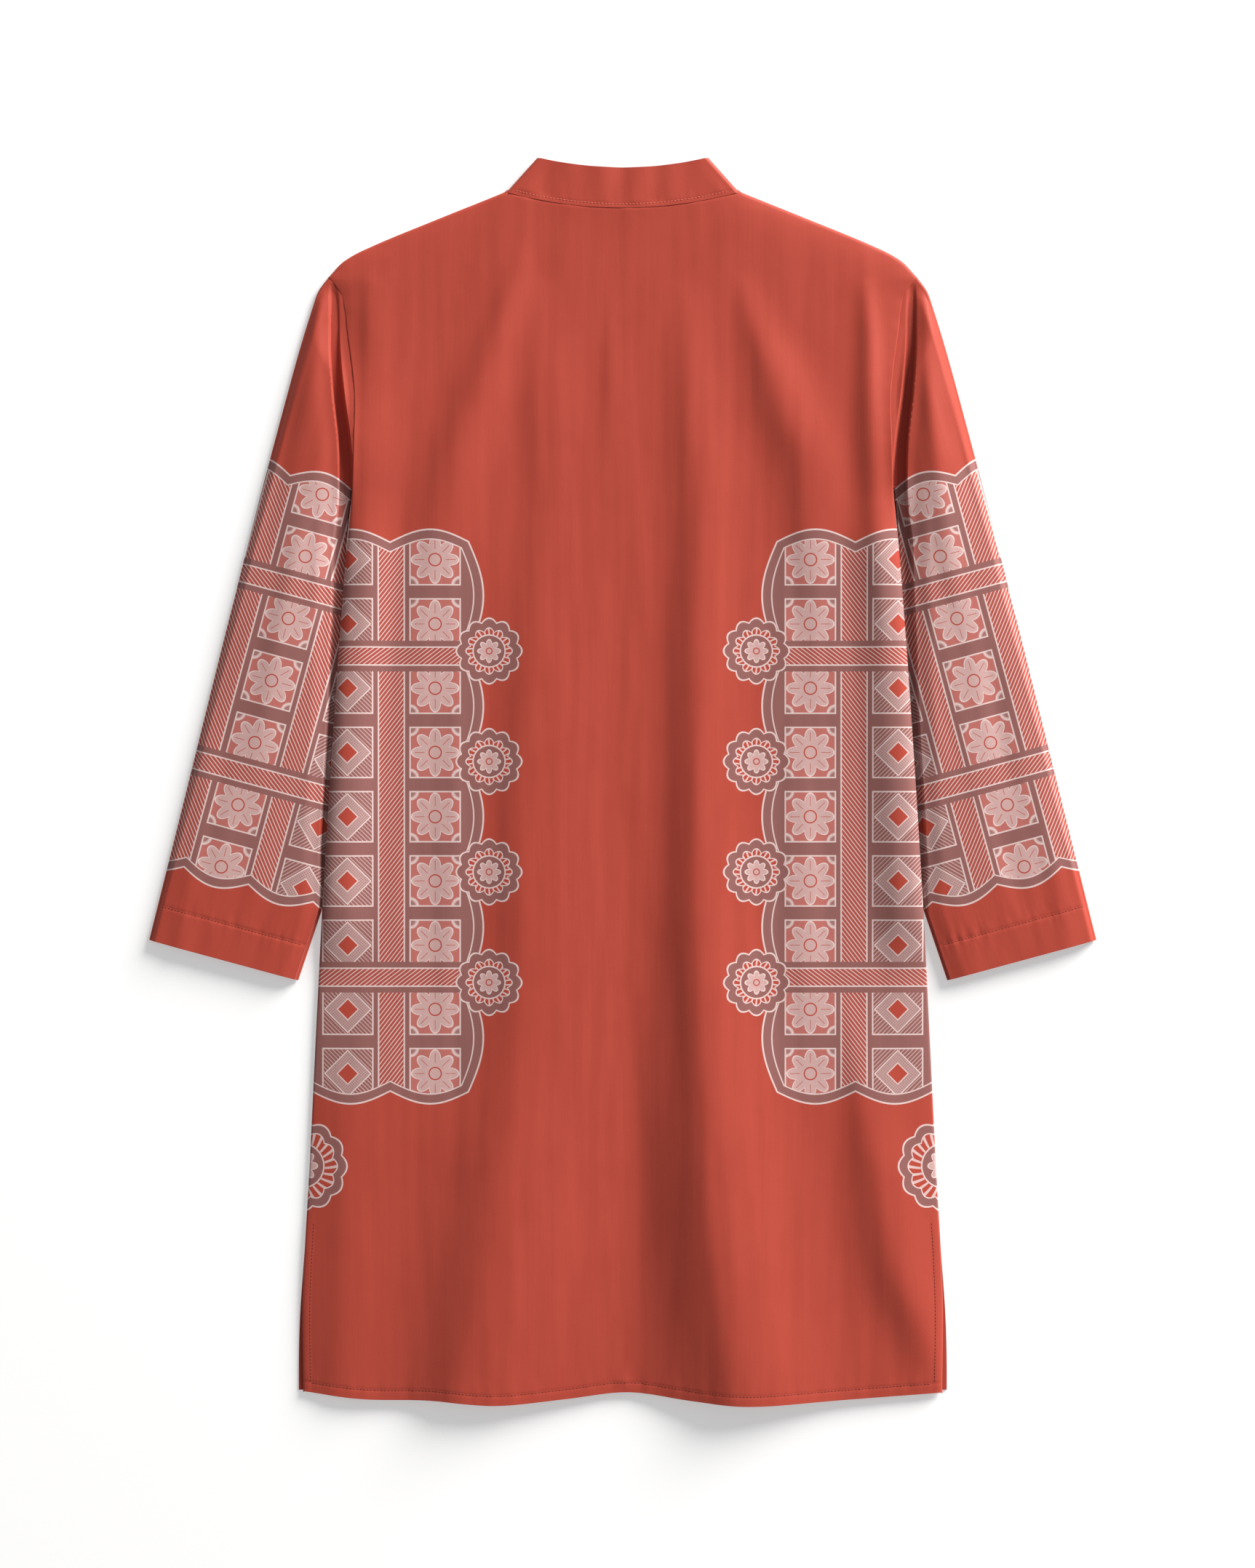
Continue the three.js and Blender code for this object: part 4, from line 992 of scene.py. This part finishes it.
def draw_flower_tile(dye, u, v, half, mask):
    """A square tile: pale ground, a flower of eight round petals, and quarter rounds in the corners."""
    body, outline, lines, heart = flower(u, v, half * 0.94)
    corner = longest(half - abs(u), half - abs(v))
    dye.paint("fill", mask)
    dye.paint("ground", mask * (1 - body) * (corner - half * 0.36).over() * 0.72)
    dye.paint("band", mask * corner.within(half * 0.22) * 0.8)
    dye.paint("outline", mask * (corner - half * 0.3).within(0.5))
    dye.paint("outline", mask * outline)
    dye.paint("ground", mask * lines * 0.8)
    dye.paint("ground", mask * heart)


def draw_lozenge_tile(dye, u, v, half, mask):
    """A square tile: a netted lozenge on a ground of fine slanting lines."""
    depth = half * 0.92 - abs(u) - abs(v)
    slanted = (u - v).repeated(3.4).within(LINE)
    dye.paint("band", mask * 0.5)
    dye.paint("fill", mask * slanted * 0.85)
    dye.paint("net", mask * depth.over())
    netting = (u + v).repeated(2.3).within(0.34).most((u - v).repeated(2.3).within(0.34))
    dye.paint("fill", mask * depth.over(1.6) * netting * 0.8)
    dye.paint("outline", mask * depth.within(0.7))
    inner = depth - half * 0.5
    dye.paint("ground", mask * inner.over())
    dye.paint("outline", mask * inner.within(0.5))


def draw_strip(dye, across, along, low, high, mask):
    """A strip of slanting strokes on the bare cloth, between two fine lines."""
    middle, half = (low + high) / 2, (high - low) / 2
    inside = (across - middle).within(half) * mask
    dye.paint("ground", inside * 0.75)
    dye.paint("outline", inside * (across * 1.3 + along).repeated(4.2).within(0.6) * 0.85)
    dye.paint("outline", (abs(across - middle) - half).within(LINE) * mask)


def draw_border(dye, depth):
    """A mauve border between two fine lines, a depth inside the edge of the print."""
    dye.paint("band", depth.over() * (BORDER - depth).over())
    dye.paint("outline", (depth - 0.5).within(0.65))
    dye.paint("outline", (depth - BORDER).within(0.5))


def draw_roundel(dye, u, v, radius):
    """A scalloped round with radial strokes and a flower in its middle."""
    r = longest(u, v)
    turn = v.worked("ARCTAN2", u)
    scallop = 3.2
    edge = abs((turn * 6).cosine()) * scallop + (radius - scallop)
    depth = edge - r
    dye.paint("ground", depth.over())
    strokes = (turn * 26 + r * 0.22).cosine().over(0.45, 0.4) * (r - 0.5 * radius).over()
    dye.paint("outline", strokes * depth.over(BORDER) * 0.85)
    draw_border(dye, depth)
    core = 0.48 * radius - r
    dye.paint("band", core.over())
    dye.paint("outline", core.within(LINE))
    body, outline, _, heart = flower(u, v, 0.34 * radius)
    dye.paint("fill", body)
    dye.paint("outline", outline)
    dye.paint("ground", heart * 0.9)


def draw_panel(dye, across, along, depth, tiles, strips, bars):
    """A printed panel: columns of tiles, slanted strips between them and bars across them all."""
    inside = depth.over(BORDER)
    dye.paint("band", inside)
    for centre, kind, shift in tiles:
        u = across - centre
        v = (along - shift).repeated(TILE_PITCH)
        square = abs(u).most(abs(v))
        tile = (TILE_HALF - square).over() * inside
        drawn = draw_flower_tile if kind == "flower" else draw_lozenge_tile
        drawn(dye, u, v, TILE_HALF, tile)
        dye.paint("outline", (square - TILE_HALF).within(LINE) * inside)
    for low, high in strips:
        draw_strip(dye, across, along, low, high, inside)
    for middle in bars:
        off = along - middle
        dye.paint("band", off.within(12) * inside)
        draw_strip(dye, off, across, -7, 7, inside)
    draw_border(dye, depth)


def draw_body_print(dye, u, v):
    """The print along each side of the body, mirrored about its centre."""
    across = abs(u)
    lobe = abs(((v + 28) * (math.pi / 86)).cosine()) * 12 + (across - BODY_PRINT_INNER)
    crest = abs(((across - 150) * (math.pi / 62)).cosine()) * 10
    depth = lobe.least(crest + (BODY_PRINT_TOP - v)).least(crest + (v - BODY_PRINT_BOTTOM))
    tiles = [(146, "flower", -28), (214, "lozenge", -28)]
    draw_panel(dye, across, v, depth, tiles, [(170, 190)], [97, -153])
    for height in ROUNDEL_YS:
        draw_roundel(dye, across - ROUNDEL_X, v - height, ROUNDEL_RADIUS)
    draw_roundel(dye, across - LOW_ROUNDEL_X, v - LOW_ROUNDEL_Y, LOW_ROUNDEL_RADIUS)


def draw_sleeve_print(dye, u, v):
    """The print round each sleeve, from above the cuff to the upper arm."""
    crest = abs(((u - 38) * (math.pi / 52)).cosine()) * 9
    depth = (crest + (SLEEVE_PRINT_TOP - v)).least(crest + (v - SLEEVE_PRINT_BOTTOM))
    tiles = [(40, "flower", 20), (106, "lozenge", 20)]
    draw_panel(dye, u, v, depth, tiles, [(-6, 15), (64, 82)], [145, 295])


def new_material(name):
    """A material and its shader."""
    material = bpy.data.materials.new(name)
    material.use_nodes = True
    return material, material.node_tree.nodes["Principled BSDF"]


def set_inputs(node, values):
    for name, value in values.items():
        node.inputs[name].default_value = value


def add_bump(tree, shader, height, strength, millimetres):
    """Relief on a shader from a socket that gives its height."""
    bump = tree.nodes.new("ShaderNodeBump")
    set_inputs(bump, {"Strength": strength, "Distance": millimetres * MM})
    tree.links.new(height, bump.inputs["Height"])
    tree.links.new(bump.outputs["Normal"], shader.inputs["Normal"])


def cloth_material(scene, name, draw=None):
    """Smooth, slightly lustrous dyed cloth with faint slubs along it, printed by draw if that is given."""
    known = bpy.data.materials.get(name)
    if known:
        return known
    colours = scene.kurta_colours
    material, shader = new_material(name)
    tree = material.node_tree
    cut = tree.nodes.new("ShaderNodeAttribute")
    cut.attribute_name = "cut"
    parts = tree.nodes.new("ShaderNodeSeparateXYZ")
    tree.links.new(cut.outputs["Vector"], parts.inputs["Vector"])
    u, v = (Field(tree, parts.outputs[axis]) for axis in "XY")

    def clouds(width, length, detail=2.0):
        """Noise that is stretched along the cloth."""
        stretched = tree.nodes.new("ShaderNodeCombineXYZ")
        tree.links.new((u / width).socket, stretched.inputs["X"])
        tree.links.new((v / length).socket, stretched.inputs["Y"])
        texture = tree.nodes.new("ShaderNodeTexNoise")
        set_inputs(texture, {"Scale": 1.0, "Detail": detail})
        tree.links.new(stretched.outputs["Vector"], texture.inputs["Vector"])
        return Field(tree, texture.outputs[0])

    streaks = clouds(2.4, 60, 3.0)
    mottle = clouds(28, 46)
    base = tree.nodes.new("ShaderNodeRGB")
    base.outputs[0].default_value = (*colours.ground, 1.0)
    dye = Dye(tree, base.outputs[0], colours)
    dye.paint("ground_deep", (streaks - 0.42).worked("MULTIPLY", 0.55, clamp=True))
    dye.paint("ground_deep", (mottle - 0.45).worked("MULTIPLY", 0.9, clamp=True))
    if draw:
        draw(dye, u, v)
        dye.paint("ground", (clouds(1.1, 3.0) - 0.5).worked("MULTIPLY", 0.9, clamp=True) * 0.5)
    tree.links.new(dye.socket, shader.inputs["Base Color"])
    roughness = streaks.worked("MULTIPLY_ADD", 0.16, 0.46)
    tree.links.new(roughness.socket, shader.inputs["Roughness"])
    set_inputs(shader, {"Specular IOR Level": 0.16, "Sheen Weight": 0.08, "Sheen Roughness": 0.45})
    set_inputs(shader, {"Sheen Tint": (1.0, 0.74, 0.66, 1.0)})
    warp, weft = (u * (2 * math.pi / WEAVE_PITCH)), (v * (2 * math.pi / WEAVE_PITCH))
    weave = warp.worked("SINE") * weft.worked("SINE")
    relief = weave * 0.25 + streaks + clouds(0.9, 7, 2.0) * 0.5
    add_bump(tree, shader, relief.socket, 0.35, 0.12)
    return material


def body_material(scene):
    return cloth_material(scene, "printed body cloth", draw_body_print)


def thread_material(name, colour):
    """Sewing thread with a twist."""
    material, shader = new_material(name)
    set_inputs(shader, {"Base Color": (*colour, 1.0), "Roughness": 0.5})
    twist = material.node_tree.nodes.new("ShaderNodeTexNoise")
    set_inputs(twist, {"Scale": 2600.0})
    add_bump(material.node_tree, shader, twist.outputs[0], 0.4, 0.05)
    return material


# Studio: the table in metres, the place of the camera and its sensor in millimetres.
TABLE_HALF, TABLE_Z, TABLE_COLOUR, TABLE_GLOW = 6, -0.0004, (0.62, 0.62, 0.622, 1.0), 0.38
WHITE, LAMP_COLOUR = (1.0, 1.0, 1.0, 1.0), (1.0, 0.985, 0.965)
CAMERA_X, CAMERA_Y, SENSOR_HEIGHT = 3.7, -2.55, 36.0


class KURTA_OT_stage(bpy.types.Operator):
    """Set the pale table, the soft light and the camera straight above it"""

    bl_idname = "kurta.stage"
    bl_label = "Stage"

    def execute(self, context):
        scene = context.scene
        studio = scene.kurta_studio
        mesh = bpy.data.meshes.new("table")
        turns = [(-1, -1), (1, -1), (1, 1), (-1, 1)]
        mesh.from_pydata([(a * TABLE_HALF, b * TABLE_HALF, TABLE_Z) for a, b in turns], [], [(0, 1, 2, 3)])
        paper, shader = new_material("white paper")
        set_inputs(shader, {"Base Color": TABLE_COLOUR, "Roughness": 0.9, "Specular IOR Level": 0.1})
        set_inputs(shader, {"Emission Color": WHITE, "Emission Strength": TABLE_GLOW})
        mesh.materials.append(paper)
        new_object("table", mesh)

        world = bpy.data.worlds.new("white room")
        world.use_nodes = True
        background = world.node_tree.nodes["Background"]
        set_inputs(background, {"Color": WHITE, "Strength": studio.fill})
        scene.world = world

        lamp = bpy.data.lights.new("key", "AREA")
        lamp.shape = "DISK"
        lamp.size = studio.key_size
        lamp.energy = studio.key_power
        lamp.color = LAMP_COLOUR
        key = new_object("key", lamp)
        level = math.cos(studio.key_elevation)
        towards = Vector((
            level * math.cos(studio.key_azimuth),
            level * math.sin(studio.key_azimuth),
            math.sin(studio.key_elevation),
        ))
        key.location = towards * studio.key_distance
        key.rotation_euler = towards.to_track_quat("Z", "Y").to_euler()

        lens = bpy.data.cameras.new("camera")
        lens.sensor_fit = "VERTICAL"
        lens.sensor_height = SENSOR_HEIGHT
        lens.lens = lens.sensor_height * studio.camera_height / studio.view_height
        scene.camera = new_object("camera", lens)
        scene.camera.location = (CAMERA_X * MM, CAMERA_Y * MM, studio.camera_height)
        scene.view_settings.view_transform = "Standard"
        return {"FINISHED"}


class KURTA_PT_sidebar(bpy.types.Panel):
    """Sizes, colours and steps of the kurta"""

    bl_idname = "KURTA_PT_sidebar"
    bl_label = "Kurta"
    bl_space_type = "VIEW_3D"
    bl_region_type = "UI"
    bl_category = "Kurta"

    def draw(self, context):
        for attribute in GROUPS:
            group = getattr(context.scene, attribute)
            box = self.layout.box()
            for name in group.bl_rna.properties.keys():
                if name not in ("rna_type", "name"):
                    box.prop(group, name)
        for step in STEPS:
            self.layout.operator(step.bl_idname)


STEPS = (
    KURTA_OT_stage,
    KURTA_OT_front_panel,
    KURTA_OT_back_panel,
    KURTA_OT_sleeves,
    KURTA_OT_collar,
    KURTA_OT_stitching,
)
GROUPS = {"kurta_sizes": CutSizes, "kurta_colours": ClothColours, "kurta_studio": StudioSettings}


def register():
    for name, group in GROUPS.items():
        bpy.utils.register_class(group)
        setattr(bpy.types.Scene, name, PointerProperty(type=group))
    for known in (*STEPS, KURTA_PT_sidebar):
        bpy.utils.register_class(known)


def unregister():
    for known in (KURTA_PT_sidebar, *reversed(STEPS)):
        bpy.utils.unregister_class(known)
    for name, group in GROUPS.items():
        delattr(bpy.types.Scene, name)
        bpy.utils.unregister_class(group)


def main():
    register()
    bpy.ops.kurta.stage()
    bpy.ops.kurta.front_panel()
    bpy.ops.kurta.back_panel()
    bpy.ops.kurta.sleeves()
    bpy.ops.kurta.collar()
    bpy.ops.kurta.stitching()


if __name__ == "__main__":
    main()
